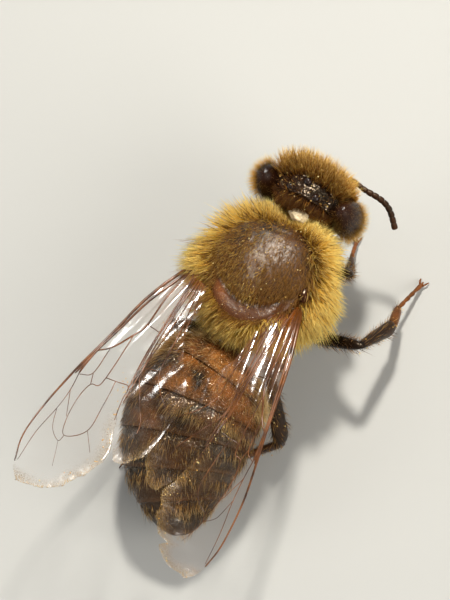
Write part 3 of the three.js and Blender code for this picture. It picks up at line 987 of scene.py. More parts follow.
# Joints of each leg from the body outwards: hip, end of the hip piece, knee, shin end, heel end
# and the last foot joint.
legs = {
    "foreleg_right": ((-0.5, -1.4, 2.3), (-0.85, -1.62, 1.55), (-2.22, -1.33, 3.36),
                      (-1.66, -2.05, 1.5), (-1.3, -2.75, 0.8), (-1.0, -3.6, 0.1)),
    "foreleg_left": ((0.5, -1.4, 2.3), (0.82, -1.66, 1.55), (1.78, -1.95, 2.95),
                     (1.72, -2.6, 1.55), (1.45, -3.1, 0.8), (1.05, -3.75, 0.1)),
    "middleleg_right": ((-0.75, 0.1, 2.1), (-1.42, 0.5, 1.5), (-3.45, 0.57, 2.7),
                        (-3.71, -0.91, 1.3), (-3.47, -1.78, 0.78), (-3.62, -3.05, 0.1)),
    "middleleg_left": ((0.75, 0.0, 2.1), (1.35, 0.3, 1.5), (2.5, -0.55, 2.85),
                       (2.45, -0.95, 1.0), (2.35, -1.75, 0.5), (2.15, -2.6, 0.1)),
    "hindleg_right": ((-0.7, 1.2, 2.1), (-1.08, 1.6, 1.45), (-1.3, 2.62, 3.2),
                      (-2.15, 4.02, 1.0), (-1.0, 4.8, 0.42), (-0.6, 5.85, 0.1)),
    "hindleg_left": ((0.75, 1.2, 2.1), (1.15, 1.6, 1.45), (2.22, 2.3, 3.15),
                     (2.55, 3.9, 1.15), (2.35, 5.35, 0.45), (2.4, 6.4, 0.1)),
}
legGirths = {
    # half thickness and half breadth of hip, thigh, shin and heel pieces
    "foreleg": ((0.28, 0.3), (0.2, 0.24), (0.17, 0.22), (0.12, 0.15)),
    "middleleg": ((0.3, 0.32), (0.23, 0.27), (0.21, 0.27), (0.16, 0.22)),
    "hindleg": ((0.3, 0.32), (0.2, 0.26), (0.15, 0.42), (0.12, 0.38)),
}
legShapes = {
    # stations as shares of the leg's girth
    "coxa": ((-0.05, 0.4, 0.4), (0.0, 0.8, 0.85), (0.25, 1, 1), (0.7, 0.85, 0.85),
             (0.95, 0.6, 0.6), (1.03, 0.3, 0.3)),
    "femur": ((-0.03, 0.3, 0.3), (0.0, 0.6, 0.55), (0.15, 0.85, 0.8), (0.4, 1, 1),
              (0.75, 0.85, 0.8), (0.95, 0.7, 0.65), (1.02, 0.35, 0.35)),
    "tibia": ((-0.03, 0.3, 0.2), (0.0, 0.7, 0.42), (0.1, 0.8, 0.5), (0.45, 0.95, 0.75),
              (0.85, 1, 1), (0.97, 0.9, 0.95), (1.02, 0.5, 0.6)),
    "basitarsus": ((-0.03, 0.5, 0.5), (0.02, 0.9, 0.85), (0.2, 1, 1), (0.7, 0.95, 0.95),
                   (0.95, 0.75, 0.7), (1.02, 0.4, 0.4)),
}
hairOnLimbs = {
    # how many and how long
    "coxa": (1.6, 0.3),
    "femur": (1.7, 0.42),
    "tibia": (1.6, 0.3),
    "basitarsus": (2.4, 0.16),
}
foot = {
    "joints": (0.0, 0.26, 0.47, 0.66, 0.98),  # where they begin and end, from heel to toe
    "joint": ((-0.05, 0.03), (0.0, 0.055), (0.6, 0.075, 0.085), (0.92, 0.085, 0.095),
              (1.04, 0.03, 0.04)),
    "pad": ((-0.1, 0.02, 0.03), (0.1, 0.05, 0.07), (0.7, 0.045, 0.08), (1.0, 0.02, 0.04)),
    # ahead of the toe, aside and up
    "claw": ((-0.02, 0.04, 0), (0.1, 0.12, 0.02), (0.2, 0.15, -0.03), (0.22, 0.15, -0.085)),
    "clawRadii": (0.035, 0.03, 0.02, 0.006),
    "floor": 0.004,  # pad and claws press flat on it
}


def makeFoot(name, heel, toe):
    # four short joints, then a pad and two hooked claws
    joints = []
    for a, b in zip(foot["joints"], foot["joints"][1:]):
        lift = np.array([0, 0, 0.05 * math.sin(math.pi * a)])
        joints.append(limbPiece("joint", heel + (toe - heel) * a + lift, heel + (toe - heel) * b,
                                foot["joint"], sides=10))
    along = unit((toe - heel) * [1, 1, 0.15])
    aside = unit(np.cross(along, [0, 0, 1]))
    joints.append(limbPiece("pad", toe - along * 0.03, toe + along * 0.13, foot["pad"], sides=10))
    radii = foot["clawRadii"]
    for way in (1, -1):
        path = [toe + along * ahead + aside * way * out + [0, 0, up]
                for ahead, out, up in foot["claw"]]
        for a, b, r0, r1 in zip(path, path[1:], radii, radii[1:]):
            joints.append(limbPiece("claw", a, b, ((-0.08, r0 * 0.4), (0.0, r0), (1.0, r1),
                                                   (1.06, r1 * 0.3)), sides=8, finer=0))
    piece = joinPieces(joints, name)
    spots = readPoints(piece)
    spots[:, 2] = np.maximum(spots[:, 2], foot["floor"])
    writePoints(piece, spots)
    return piece


limbsWithHair = []  # start, end, stations, broad side, hairs' density and length


def makeLegs():
    black = limbMaterial("legShell", (17, 10, 7), (42, 25, 14))
    brown = limbMaterial("heelShell", (40, 22, 10), (112, 64, 28), (0.24, 0.44))
    orange = limbMaterial("footShell", (70, 37, 16), (138, 80, 38), (0.28, 0.5))
    for name, joints in legs.items():
        girths = legGirths[name.split("_")[0]]
        joints = np.array(joints)
        outward = (-1, 0, 0.2) if "right" in name else (1, 0, 0.2)
        for i, (part, shape) in enumerate(legShapes.items()):
            thick, wide = girths[i]
            start, end = joints[i:i + 2]
            broad = np.cross(end - start, outward) if i > 1 else (0, 0, 1)
            stations = [(share, thick * a, wide * b) for share, a, b in shape]
            piece = limbPiece(f"{name}_{part}_shell", start, end, stations, broad, sides=16)
            limbsWithHair.append((start, end, stations, broad, *hairOnLimbs[part]))
            heel = part == "basitarsus"
            settle(piece, brown if heel else black, "foot" if heel else "leg", f"{name}_{part}")
        settle(makeFoot(name + "_foot", *joints[4:]), orange, "foot", name + "_tarsus")
        print("made", name)


neck = {
    "ends": ((0, -2.62, 3.45), (0, -1.62, 3.42)),
    "stations": ((-0.05, 0.3), (0, 0.42), (0.3, 0.36), (0.55, 0.42), (0.9, 0.6), (1.05, 0.4)),
}
waist = {
    "ends": ((0, 1.55, 2.95), (0.08, 2.56, 2.72)),
    "stations": ((-0.02, 0.3), (0.1, 0.5), (0.45, 0.3), (0.62, 0.26), (0.85, 0.4), (1.02, 0.3)),
}


def makeNeckAndWaist():
    dark = shellMaterial("neckSkin", (60, 38, 22), (120, 82, 48), (0.4, 0.6))
    settle(limbPiece("neck_skin", *neck["ends"], neck["stations"], sides=24),
           dark, "coat", "neck")
    settle(limbPiece("waist_ring", *waist["ends"], waist["stations"], sides=24),
           dark, "coat", "petiole")


# Outlines and veins lie in the plane of a wing: u from the hinge to the tip, v from the leading
# edge back, both in millimetres. The right pair is a little longer and narrower.
wings = {
    "left": {"base": (2.11, 0.73, 4.42), "tip": (3.82, 9.85, 5.5), "roll": 0, "stain": 0.4,
             "pleat": 0.055, "length": 1.0, "breadth": 1.0, "leading": 1.0, "arch": -0.14},
    "right": {"base": (-1.65, 0.75, 4.42), "tip": (-2.62, 10.45, 4.2), "roll": -3, "stain": 1.0,
              "pleat": 0.07, "length": 1.035, "breadth": 0.95, "leading": 0.74, "arch": 0.3},
    "film": 0.012,
    "dive": (0.12, -0.13, -0.38),  # how far the root dips into the coat
    "foreLeading": ((0, -0.10), (0.5, -0.22), (1.8, -0.54), (4.1, -0.70), (5.2, -0.80),
                    (6.5, -0.86), (7.9, -0.68), (8.8, -0.28), (9.25, 0.2)),
    "foreTrailing": ((0, 0.22), (0.6, 0.42), (1.4, 0.55), (2.6, 0.66), (5.1, 1.17), (5.9, 1.45),
                     (6.45, 1.76), (7.0, 1.97), (7.85, 1.78), (8.5, 1.48), (8.95, 1.0),
                     (9.25, 0.2)),
    "hindLeading": ((0.35, 0.40), (2.6, 0.68), (5.1, 1.19), (5.9, 1.47), (6.45, 1.78),
                    (6.95, 2.2)),
    "hindTrailing": ((0.4, 0.8), (1.2, 1.1), (2.1, 1.3), (2.7, 1.65), (3.2, 2.1), (3.6, 2.5),
                     (4.3, 2.75), (5.2, 2.9), (6.1, 2.92), (6.8, 2.55), (6.95, 2.2)),
}
veinStretch = 1.035  # of the vein places along the wing
foreVeins = (
    # radius in hundredths of a millimetre, then the places it runs through
    (5.6, (0.0, -0.06), (0.5, -0.2), (1.8, -0.5), (3.2, -0.62), (4.0, -0.67), (5.0, -0.76),
     (6.3, -0.81), (7.6, -0.66), (8.4, -0.32)),
    (4.8, (0.05, 0.0), (0.6, -0.1), (1.8, -0.37), (3.0, -0.52), (3.95, -0.61), (4.5, -0.62),
     (4.95, -0.6)),
    (3.6, (0.1, 0.06), (0.7, 0.04), (1.5, 0.02), (2.46, 0.10), (3.0, 0.0), (3.75, -0.33),
     (4.05, -0.6)),
    (2.2, (3.75, -0.33), (4.71, -0.24), (5.0, -0.56)),
    (2.2, (4.71, -0.24), (5.07, -0.06)),
    (2.4, (3.0, 0.0), (3.9, 0.12), (4.62, 0.19), (4.96, 0.17), (5.07, -0.06), (5.62, -0.09),
     (6.42, 0.10), (6.88, 0.39), (6.35, 0.88), (5.4, 0.74), (4.55, 0.52)),
    (2.2, (4.62, 0.19), (4.55, 0.52), (4.45, 0.89), (4.52, 1.0)),
    (2.4, (4.95, -0.60), (5.56, -0.47), (6.29, -0.40), (7.32, -0.40), (8.33, -0.27)),
    (2.0, (5.56, -0.47), (6.35, 0.04)),
    (2.0, (6.29, -0.40), (6.89, -0.06), (7.12, 0.34), (6.88, 0.39)),
    (1.6, (6.35, 0.88), (6.88, 1.42)),
    (1.6, (7.12, 0.34), (7.9, 0.77)),
    (2.0, (2.46, 0.10), (2.5, 0.6)),
    (3.2, (0.1, 0.12), (0.7, 0.3), (1.5, 0.45), (2.59, 0.61), (3.78, 0.81), (4.62, 1.04)),
    (2.4, (0.3, 0.3), (1.4, 0.5), (2.59, 0.655), (3.78, 0.86), (4.9, 1.11), (5.6, 1.34)),
)
hindVeins = (
    (3.0, (0.36, 0.44), (1.4, 0.56), (2.6, 0.73), (3.8, 0.95), (5.0, 1.2)),
    (2.4, (0.4, 0.52), (1.4, 0.72), (2.6, 0.84), (3.85, 0.99), (4.5, 1.45), (5.2, 2.04),
     (5.55, 2.19)),
    (2.2, (0.42, 0.6), (1.4, 0.9), (2.39, 1.20), (3.5, 1.44), (4.08, 1.92), (4.4, 2.4)),
    (1.8, (3.5, 1.44), (3.7, 1.0)),
    (2.0, (0.45, 0.7), (1.3, 1.02), (2.1, 1.26)),
)


class WingPlane:
    def __init__(self, sideName):
        wing, side = wings[sideName], dict(bothSides)[sideName]
        self.hinge = np.array(wing["base"])
        self.along = unit(np.array(wing["tip"]) - self.hinge)
        inward = unit(np.array([-side, 0, 0]) + self.along * side * self.along[0])
        normal = np.cross(self.along, inward)
        normal = normal * np.sign(normal[2])
        roll = math.radians(wing["roll"])
        self.chord = inward * math.cos(roll) - normal * math.sin(roll)
        up = np.cross(self.along, self.chord)
        self.up = up * np.sign(up[2])
        self.stain = wing["stain"]
        self.length, self.breadth, self.leading, self.arch, self.pleat = (
            wing[k] for k in ("length", "breadth", "leading", "arch", "pleat"))

    def height(self, u, v):
        # pleats along the stiff part near the hinge, and a slight billow further out
        pleat = self.pleat * np.sin(v * 11 + 0.6 * u + np.sin(v * 4.3)) * np.exp(-((u / 4.2) ** 2))
        pleat = pleat * (0.65 + 0.35 * np.sin(v * 5.7 + 0.4 * u + 0.8))
        billow = 0.03 * np.sin(u * 2.1 + v * 2.6) * smoothStep(u, 1, 4)
        sag = 0.05 * np.sin(u * 0.62) - 0.03 * smoothStep(v, 0.8, 2.6)
        sag = sag + self.arch * np.sin(np.minimum(u, 4.0) * np.pi / 8)
        return pleat + billow + sag

    def place(self, u, v, lift=0.0):
        u, v = np.asarray(u, float), np.asarray(v, float)
        wide = v * np.where(v < 0, self.leading, self.breadth)
        height = self.height(u, v) + lift
        dive = np.multiply.outer(np.clip(1 - u / 0.8, 0, 1) ** 2, wings["dive"])
        return (self.hinge + dive + np.multiply.outer(u * self.length, self.along)
                + np.multiply.outer(wide, self.chord) + np.multiply.outer(height, self.up))


def filmMaterial():
    material, skin = newMaterial("wingFilm", roughness=0.15, specular=1.0, ior=1.58)
    spot = objectSpot(skin)
    tint = noise(spot, 500.0, 4.0)
    fuzz = noise(spot, 26000.0)
    root, worn = attribute(skin, "root"), attribute(skin, "worn")
    folds = times(attribute(skin, "fold"), root)
    edgeDust = times(dustOn(spot, Share=0.55, Scale=20000.0), worn)
    specks = maximum(dustOn(spot, Share=0.14), edgeDust)
    color = layered(
        ramp(tint, (0.35, seen(110, 64, 20)), (0.65, seen(144, 94, 36))),
        (root, seen(184, 100, 26)),
        (folds, seen(70, 32, 10)),
        (worn, seen(156, 116, 34)),
        (specks, seen(190, 158, 88)))
    clear = layered(
        ramp(tint, (0.3, 0.014), (0.7, 0.034)),
        (times(root, 0.8), 0.5),
        (folds, 0.9),
        (times(worn, ramp(fuzz, (0.43, 0.06), (0.57, 0.56))), 0.58),
        (times(specks, 0.85), 1.0))
    plug(skin.inputs["Alpha"], clear)
    dress(skin, color, height=plus(times(noise(spot, 1500.0), 6.0), times(fuzz, 0.5)),
          depth=0.000006)
    return material


def raggedEdge(points, seed):
    # worn nicks along an edge, deeper towards the tip
    nick = 0.06 * waviness(points, 5.5, seed) + 0.045 * waviness(points, 17, seed + 1)
    nick -= 0.16 * smoothStep(waviness(points, 9.0, seed + 2), 0.45, 0.9)
    return nick * smoothStep(points[:, 0], 4.5, 7.5)


def filmPiece(name, plane, leading, trailing, seed, tear=0.0, lift=0.0):
    # rows of points from the leading to the trailing edge, an upper and a lower face
    rows, columns = 150, 30
    front = alongCurve(leading, rows)
    rear = alongCurve(trailing, rows)
    rear3 = np.column_stack([rear, np.zeros(rows)])
    rear[:, 1] += raggedEdge(rear3, seed) * np.append(np.ones(rows - 1), 0)
    rear[:, 1] -= tear * bumpAt(rear[:, 0], torn["at"], torn["width"])
    share = np.linspace(0, 1, columns)
    share = (share - 0.06 * np.sin(2 * np.pi * share))[None, :, None]
    u, v = (front[:, None] * (1 - share) + rear[:, None] * share).reshape(-1, 2).T
    half = wings["film"] / 2
    points = np.vstack([plane.place(u, v, half + lift), plane.place(u, v, -half + lift)])
    n = rows * columns
    r, c = np.meshgrid(np.arange(rows - 1), np.arange(columns - 1), indexing="ij")
    a = (r * columns + c).ravel()
    upper = np.stack([a, a + columns, a + columns + 1, a + 1], 1)
    edge = np.concatenate([np.arange(columns),
                           np.arange(1, rows) * columns + columns - 1,
                           (rows - 1) * columns + np.arange(columns - 2, -1, -1),
                           np.arange(rows - 2, 0, -1) * columns])
    following = np.roll(edge, -1)
    border = np.stack([edge, following, following + n, edge + n], 1)
    piece = meshFromArrays(name, points, [upper, upper[:, ::-1] + n, border])
    fixNormals(piece, weld=0.002)
    spots = readPoints(piece) - plane.hinge
    u = spots @ plane.along / plane.length
    v = spots @ plane.chord / plane.breadth
    edgeRoom = np.interp(u, rear[:, 0], rear[:, 1]) - v
    tipRoom = np.abs(u - leading[-1][0])
    worn = np.clip(1 - np.minimum(edgeRoom, tipRoom) / 0.5, 0, 1) * smoothStep(u, 5, 7)
    addAttributes(piece, root=plane.stain * np.clip(1 - u / 3.4, 0, 1) ** 1.3,
                  fold=smoothStep(np.sin(v * 22 + 1.2 * u + 1.5), 0.1, 0.8), worn=worn)
    return piece


def veinPiece(name, plane, veins):
    # tubes that thin out towards the wing's tip
    curve = bpy.data.curves.new(name, "CURVE")
    curve.dimensions = "3D"
    curve.bevel_depth = 0.01
    curve.bevel_resolution = 2
    curve.use_fill_caps = True
    for radius, *points in veins:
        fine = alongCurve(points, 10 * len(points))
        u = fine[:, 0] * veinStretch
        places = plane.place(u, fine[:, 1])
        spline = curve.splines.new("POLY")
        spline.points.add(len(places) - 1)
        spline.points.foreach_set("co", np.column_stack([places, np.ones(len(places))]).ravel())
        thin = radius * 0.82 * (1.25 - 0.75 * np.clip(u / 8.5, 0, 1))
        spline.points.foreach_set("radius", thin)
    pick(linked(name, curve))
    bpy.ops.object.convert(target="MESH")
    return bpy.context.active_object


def veinMaterial():
    material, skin = newMaterial("veinShell", roughness=0.28, specular=0.2)
    spot = objectSpot(skin)
    color = ramp(noise(spot, 1800.0, 3.0), (0.35, seen(58, 30, 11)), (0.65, seen(128, 76, 32)))
    dress(skin, color, height=noise(spot, 15000.0), depth=0.000004)
    return material


seeds = {"left": (1, 7), "right": (4, 9)}  # of the ragged margins, forewing and hindwing
torn = {
    # the notch in a forewing's margin
    "at": 8.35,
    "width": 0.10,
    "depth": {"left": 0.0, "right": 0.30},
}
stigma = {
    # the dark streak at the leading edge
    "from": (4.12, -0.63),
    "to": (5.2, -0.69),
    "stations": ((-0.03, 0.01, 0.02), (0.1, 0.03, 0.04), (0.6, 0.03, 0.05),
                 (0.95, 0.02, 0.03), (1.03, 0.01, 0.02)),
}


def makeWings():
    film, vein = filmMaterial(), veinMaterial()
    for name, side in bothSides:
        plane = WingPlane(name)
        foreSeed, hindSeed = seeds[name]
        fore = filmPiece("forewing_film_" + name, plane, wings["foreLeading"],
                         wings["foreTrailing"], foreSeed, torn["depth"][name])
        settle(fore, film, "wing_membrane", "forewing_" + name)
        hind = filmPiece("hindwing_film_" + name, plane, wings["hindLeading"],
                         wings["hindTrailing"], hindSeed, lift=-0.03)
        settle(hind, film, "wing_membrane", "hindwing_" + name)
        settle(veinPiece("forewing_veins_" + name, plane, foreVeins), vein, "wing_membrane")
        settle(veinPiece("hindwing_veins_" + name, plane, hindVeins), vein, "wing_membrane")
        spot = limbPiece("stigma_" + name, plane.place(*stigma["from"]),
                         plane.place(*stigma["to"]), stigma["stations"], plane.chord)
        settle(spot, vein, "wing_membrane")
        makeHinge(name, side, plane)
        print("made the", name, "wings")


hinge = {
    "cap": {"left": (1.75, 0.3, 3.85), "right": (-1.53, 0.24, 4.27)},
    "capSize": (0.21, 0.28, 0.18),
    "capTurn": (34, -12),  # degrees outwards and about the upright
    "rodRoot": {"left": (1.75, 3.75), "right": (-1.5, 3.85)},  # x and z
    "rods": ((0.0, -0.02, 0.1), (0.12, 0.14, 0.09), (0.02, 0.28, 0.07)),  # u, v and size
    # shares of the size
    "rod": ((-0.05, 0.3, 0.4), (0.05, 0.8, 1), (0.4, 0.6, 0.8), (0.75, 0.7, 0.7),
            (1.02, 0.3, 0.3)),
}


def makeHinge(name, side, plane):
    # the little plates and rods that the wings turn on, and the cap over them
    shell = shellMaterial("hingeCap" + name.capitalize(), (22, 11, 6), (64, 31, 14),
                          (0.14, 0.24), specular=0.22)
    bpy.ops.mesh.primitive_uv_sphere_add(segments=40, ring_count=24, radius=1,
                                         location=hinge["cap"][name])
    cap = justMade("hinge_cap_" + name)
    cap.scale = hinge["capSize"]
    outwards, about = hinge["capTurn"]
    cap.rotation_euler = (0, side * math.radians(outwards), side * math.radians(about))
    bpy.ops.object.transform_apply(location=True, rotation=True, scale=True)
    settle(cap, shell, "wing_hinge", "tegula_" + name)
    brown = limbMaterial("hingeRods" + name.capitalize(), (70, 34, 12), (130, 70, 28), (0.16, 0.3))
    rootX, rootZ = hinge["rodRoot"][name]
    rods = []
    for u, v, size in hinge["rods"]:
        spot = plane.place(u, v)
        stations = [(share, size * a, size * b) for share, a, b in hinge["rod"]]
        rods.append(limbPiece("rod", (rootX, spot[1] - 0.05, rootZ), spot + plane.along * 0.3,
                              stations, sides=12))
    settle(joinPieces(rods, "hinge_rods_" + name), brown, "wing_hinge")


# The coat: every hair is a small closed solid rooted in the skin and drawn out to a point.
hairLimit = 198000  # triangles in one piece of coat
patch = 0.003  # width of one hair's own patch on the unwrapped skin


def scatterOnBall(skin, count, density, pool=6):
    # places spread over a body's skin, thinned by density, with the skin's outward direction
    d = unit(dice.normal(size=(count * pool, 3)))
    place = skin(d)
    e1, e2 = flatBasis(d)
    across = np.cross(skin(unit(d + e1 * 0.02)) - place, skin(unit(d + e2 * 0.02)) - place)
    weight = np.linalg.norm(across, axis=1) * density(d)
    chosen = dice.choice(len(d), count, replace=False, p=weight / weight.sum())
    return d[chosen], place[chosen], unit(across[chosen])


def ballUnwrap(d):
    # unwraps a body's ball of directions, the seam below
    return np.stack([np.arctan2(d[:, 0], d[:, 2]) / (2 * np.pi) + 0.5,
                     np.arccos(np.clip(-d[:, 1], -1, 1)) / np.pi], 1)


def locks(places, scale):
    # a slowly turning field, so that neighbouring hairs lean together
    return np.stack([waviness(places, scale, k) for k in (11, 12, 13)], 1)


def jitter(ways, amount):
    return unit(ways + dice.normal(size=ways.shape) * amount)


def zoneLengths(coat, plain, **zones):
    # each hair's length, drawn towards that of every zone it grows in
    length = coat[plain + "Length"]
    for zone, mask in zones.items():
        length = length + (coat[zone + "Length"] - length) * mask
    return length


def drawHairs(roots, ways, lie, bend, length, radius, rings, curl):
    # every hair's rings of three points and its tip, and how far up the hair each one is
    count = len(roots)
    e1, e2 = flatBasis(ways)
    spots = np.empty((count, rings * 3 + 1, 3))
    ups = np.empty((count, rings * 3 + 1))
    turn = dice.uniform(0, 2 * np.pi, count)
    sway = jitter(e1, 1.0) * curl
    thick = radius * np.clip(0.4 + 0.7 * (length / 0.5), 0.5, 1.1)
    for i, t in enumerate(np.linspace(0, 1, rings + 1) ** 0.9):
        path = roots + (ways * t + lie * (bend * t * t)[:, None]) * length[:, None]
        path = path + sway * (math.sin(t * 4.5) * length)[:, None]
        ups[:, i * 3:i * 3 + 3] = t
        if i == rings:
            spots[:, -1] = path
            break
        width = thick * (1 - 0.55 * t ** 1.4)
        for k in range(3):
            angle = turn + k * 2 * np.pi / 3
            ring = e1 * np.cos(angle)[:, None] + e2 * np.sin(angle)[:, None]
            spots[:, i * 3 + k] = path + ring * width[:, None]
    return spots, ups


def growHair(name, material, roots, ways, length, tone, unwrap, lie=None, bend=0.25,
             radius=0.012, rings=3, curl=0.0):
    # lie is where the tips bend to; tone runs from 0 for pale to 1 for dark
    count = len(roots)
    length, bend, tone = (np.broadcast_to(np.asarray(v, float), (count,))
                          for v in (length, bend, tone))
    spots, ups = drawHairs(roots, ways, ways if lie is None else lie, bend, length, radius,
                           rings, curl)
    sides = [[i * 3 + k, i * 3 + (k + 1) % 3, i * 3 + 3 + (k + 1) % 3, i * 3 + 3 + k]
             for i in range(rings - 1) for k in range(3)]
    last = (rings - 1) * 3
    ends = [[last + k, last + (k + 1) % 3, last + 3] for k in range(3)] + [[2, 1, 0]]
    corner = np.append(np.tile(np.arange(3), rings), 1) / 3 - 1 / 3
    shade = dice.uniform(0, 1, count)
    pieces = math.ceil(count * (len(sides) * 2 + len(ends)) / hairLimit)
    for n, some in enumerate(np.array_split(np.arange(count), pieces)):
        base = np.arange(len(some))[:, None, None] * spots.shape[1]
        quads = (base + np.array(sides)).reshape(-1, 4)
        tris = (base + np.array(ends)).reshape(-1, 3)
        piece = meshFromArrays(f"{name}_{n + 1}" if pieces > 1 else name,
                               spots[some].reshape(-1, 3), [quads, tris])
        addAttributes(piece, along=ups[some].ravel(),
                      shade=np.repeat(shade[some], spots.shape[1]),
                      tone=np.repeat(tone[some], spots.shape[1]))
        flat = unwrap[some][:, None, :] + patch * np.stack(
            [np.broadcast_to(corner, ups[some].shape), ups[some] - 0.5], 2)
        corners = np.concatenate([quads.ravel(), tris.ravel()])
        layer = piece.data.uv_layers.new(name="OFBake")
        layer.data.foreach_set("uv", flat.reshape(-1, 2)[corners].astype(np.float32).ravel())
        settle(piece, material, "coat")
    print("grew", count, "hairs of", name, "in", pieces, "pieces")


def hairMaterial(name, root, middle, tip, dark=(40, 25, 15), turn=0.4):
    material, skin = newMaterial(name, roughness=0.42, specular=0.07)
    along = attribute(skin, "along")
    pale = ramp(along, (0.0, seen(*root)), (turn, seen(*middle)), (1.0, seen(*tip)))
    dull = ramp(attribute(skin, "shade"), (0.1, 0.5), (0.4, 0.0))
    pale = mixed(dull, pale, [(a + b) / 2 for a, b in zip(seen(*root), seen(*dark))])
    night = ramp(along, (0.0, seen(*dark)), (0.6, seen(*[c * 1.6 for c in dark])),
                 (1.0, seen(*(np.array(middle) * [0.62, 0.5, 0.45]))))
    dress(skin, mixed(attribute(skin, "tone"), pale, night))
    return material


thoraxCoat = {
    "count": 33000,
    "discLength": 0.25,
    "sideLength": 1.15,
    "collarLength": 0.32,
    "rearLength": 0.75,
    "bellyLength": 0.5,
}


def thoraxZones(d):
    x, y, z = thoraxLocal(d).T
    behind = pastGroove(x, y)
    inner = np.exp(-((x / np.where(x > 0, 1.2, 1.1)) ** 6))
    wave = 0.1 * waviness(d, 6, 3) + dice.normal(size=len(d)) * 0.07
    edge = 0.6 - 0.42 * smoothStep(x, 0.4, 1.2) * (1 - bumpAt(y, 0.55, 0.5))
    ahead = 1 - smoothStep(behind, 0.5, 0.66)
    disc = smoothStep(z + wave - edge, -0.1, 0.3) * ahead
    shield = smoothStep(behind, -0.12, 0.02) * ahead * inner * smoothStep(z, 0.15, 0.45)
    return x, y, z, behind, disc, shield


def kneeRoom(places):
    # the coat is flattened where the bent right foreleg lies against it
    knee = np.array(legs["foreleg_right"][2])
    return bumpAt(np.linalg.norm(places - knee, axis=1), 0, 1.0)


def leftHinge(x, y, z):
    # hair that stands up in front of the left wing's hinge
    return bumpAt(y, 0.3, 0.5) * bumpAt(z, 0.1, 0.35) * smoothStep(x, 1.2, 1.6)


def thoraxDensity(d):
    x, y, z, _, disc, shield = thoraxZones(d)
    amount = 1 + 0.4 * smoothStep(-y, 0.9, 1.4) + 0.3 * disc - 0.7 * shield
    amount *= 1 - 0.55 * smoothStep(-z, 0.5, 1.0)
    satin = bumpAt(x, 0.10, 0.41) * bumpAt(y, -0.15, 0.95) * disc
    wing = bumpAt(y, 0.55, 0.4) * bumpAt(z, 0.75, 0.3) * smoothStep(-x, 1.0, 1.4)
    amount *= (1 - 0.92 * satin) * (1 - 0.85 * wing) * (1 - 0.75 * kneeRoom(thoraxSkin(d)))
    return np.clip(amount * (1 + leftHinge(x, y, z)), 0.01, 3)


def makeThoraxCoat():
    d, roots, out = scatterOnBall(thoraxSkin, thoraxCoat["count"], thoraxDensity)
    x, y, z, behind, disc, shield = thoraxZones(d)
    collar = smoothStep(-y, 1.15, 1.45) * smoothStep(z, -0.3, 0.3) * bumpAt(x, -0.1, 0.8)
    rear = smoothStep(behind, 0.55, 0.75)
    length = zoneLengths(thoraxCoat, "side", collar=collar, rear=rear,
                         belly=smoothStep(-z, 0.3, 0.9), disc=disc)
    length = length * np.where(shield > 0.5, 0.22, 1) * dice.uniform(0.5, 1.15, len(d))
    edge = bumpAt(behind, 0.62, 0.08) * np.exp(-((x / 1.1) ** 4))
    length *= (1 - 0.5 * edge) * (1 - 0.8 * kneeRoom(roots))
    back = np.array([0, 1.0, 0]) @ thoraxTurn.T
    ways = (out * (1 - 0.45 * disc)[:, None]
            + back * (0.30 - 0.3 * collar + 0.75 * disc)[:, None]
            + locks(roots, 3.2) * 0.28 + leftHinge(x, y, z)[:, None] * [0.1, 0.3, 1.1])
    ways = jitter(ways, 0.11 + 0.25 * disc[:, None])
    lie = jitter(np.tile(back, (len(d), 1)) + [0, 0, -0.6], 0.5)
    dark = dice.uniform(0, 1, len(d)) < 0.06 + 0.7 * disc + 0.75 * edge + 0.2 * shield
    # painted light: the upper hair is darkened only towards the bee's left, so the hair on its
    # right stays paler as if lit there; the disc's hair is darker towards the bee's right
    tone = (0.25 * smoothStep(z, 0.1, 0.6) * smoothStep(x, -0.6, 0.5)
            + disc * (0.3 + 0.6 * smoothStep(-x, 0.05, 0.5)) + 0.15 * collar
            + 0.25 * rear * smoothStep(z, -0.3, 0.3) + 0.4 * shield)
    gold = hairMaterial("thoraxHair", (244, 168, 50), (255, 210, 86), (255, 236, 150),
                        (74, 42, 18))
    growHair("thorax_coat", gold, roots - out * 0.03, ways, length,
             np.maximum(dark * 0.9, tone), ballUnwrap(d), lie, bend=0.22, radius=0.0112,
             curl=0.02)


headCoat = {
    "count": 26000,
    "browLength": 0.52,
    "faceLength": 0.15,
    "crownLength": 0.22,
    "napeLength": 0.34,
    "cheekLength": 0.22,
}


def headZones(d):
    local = headLocal(d)
    x, y, z = local.T
    face = (smoothStep(-y + 0.25 * smoothStep(abs(x), 0.55, 1.0), 0.35, 0.6)
            * smoothStep(z, -0.9, -0.3))
    crown = smoothStep(z, 0.7, 1.0) * (1 - face)
    nape = smoothStep(y, 0.1, 0.3)
    brow = face * smoothStep(z, -0.3, 0.8)
    return local, face, brow, crown, nape


def headDensity(d):
    local, face, brow, crown, nape = headZones(d)
    x, y, z = local.T
    amount = 0.8 + 0.8 * brow - 0.3 * face - 0.7 * crown * (1 - nape)
    for side in (1, -1):  # bare round the feelers' sockets and between the small eyes
        amount *= 1 - bumpAt(fromSocket(x, z, side), 0, 0.16) * (y < 0)
    amount *= 1 - 0.9 * bumpAt(np.hypot(x, y + 0.2), 0, 0.2) * crown
    return np.clip(amount, 0.01, 3) * (insideEyes(local, 0.02) > 1)


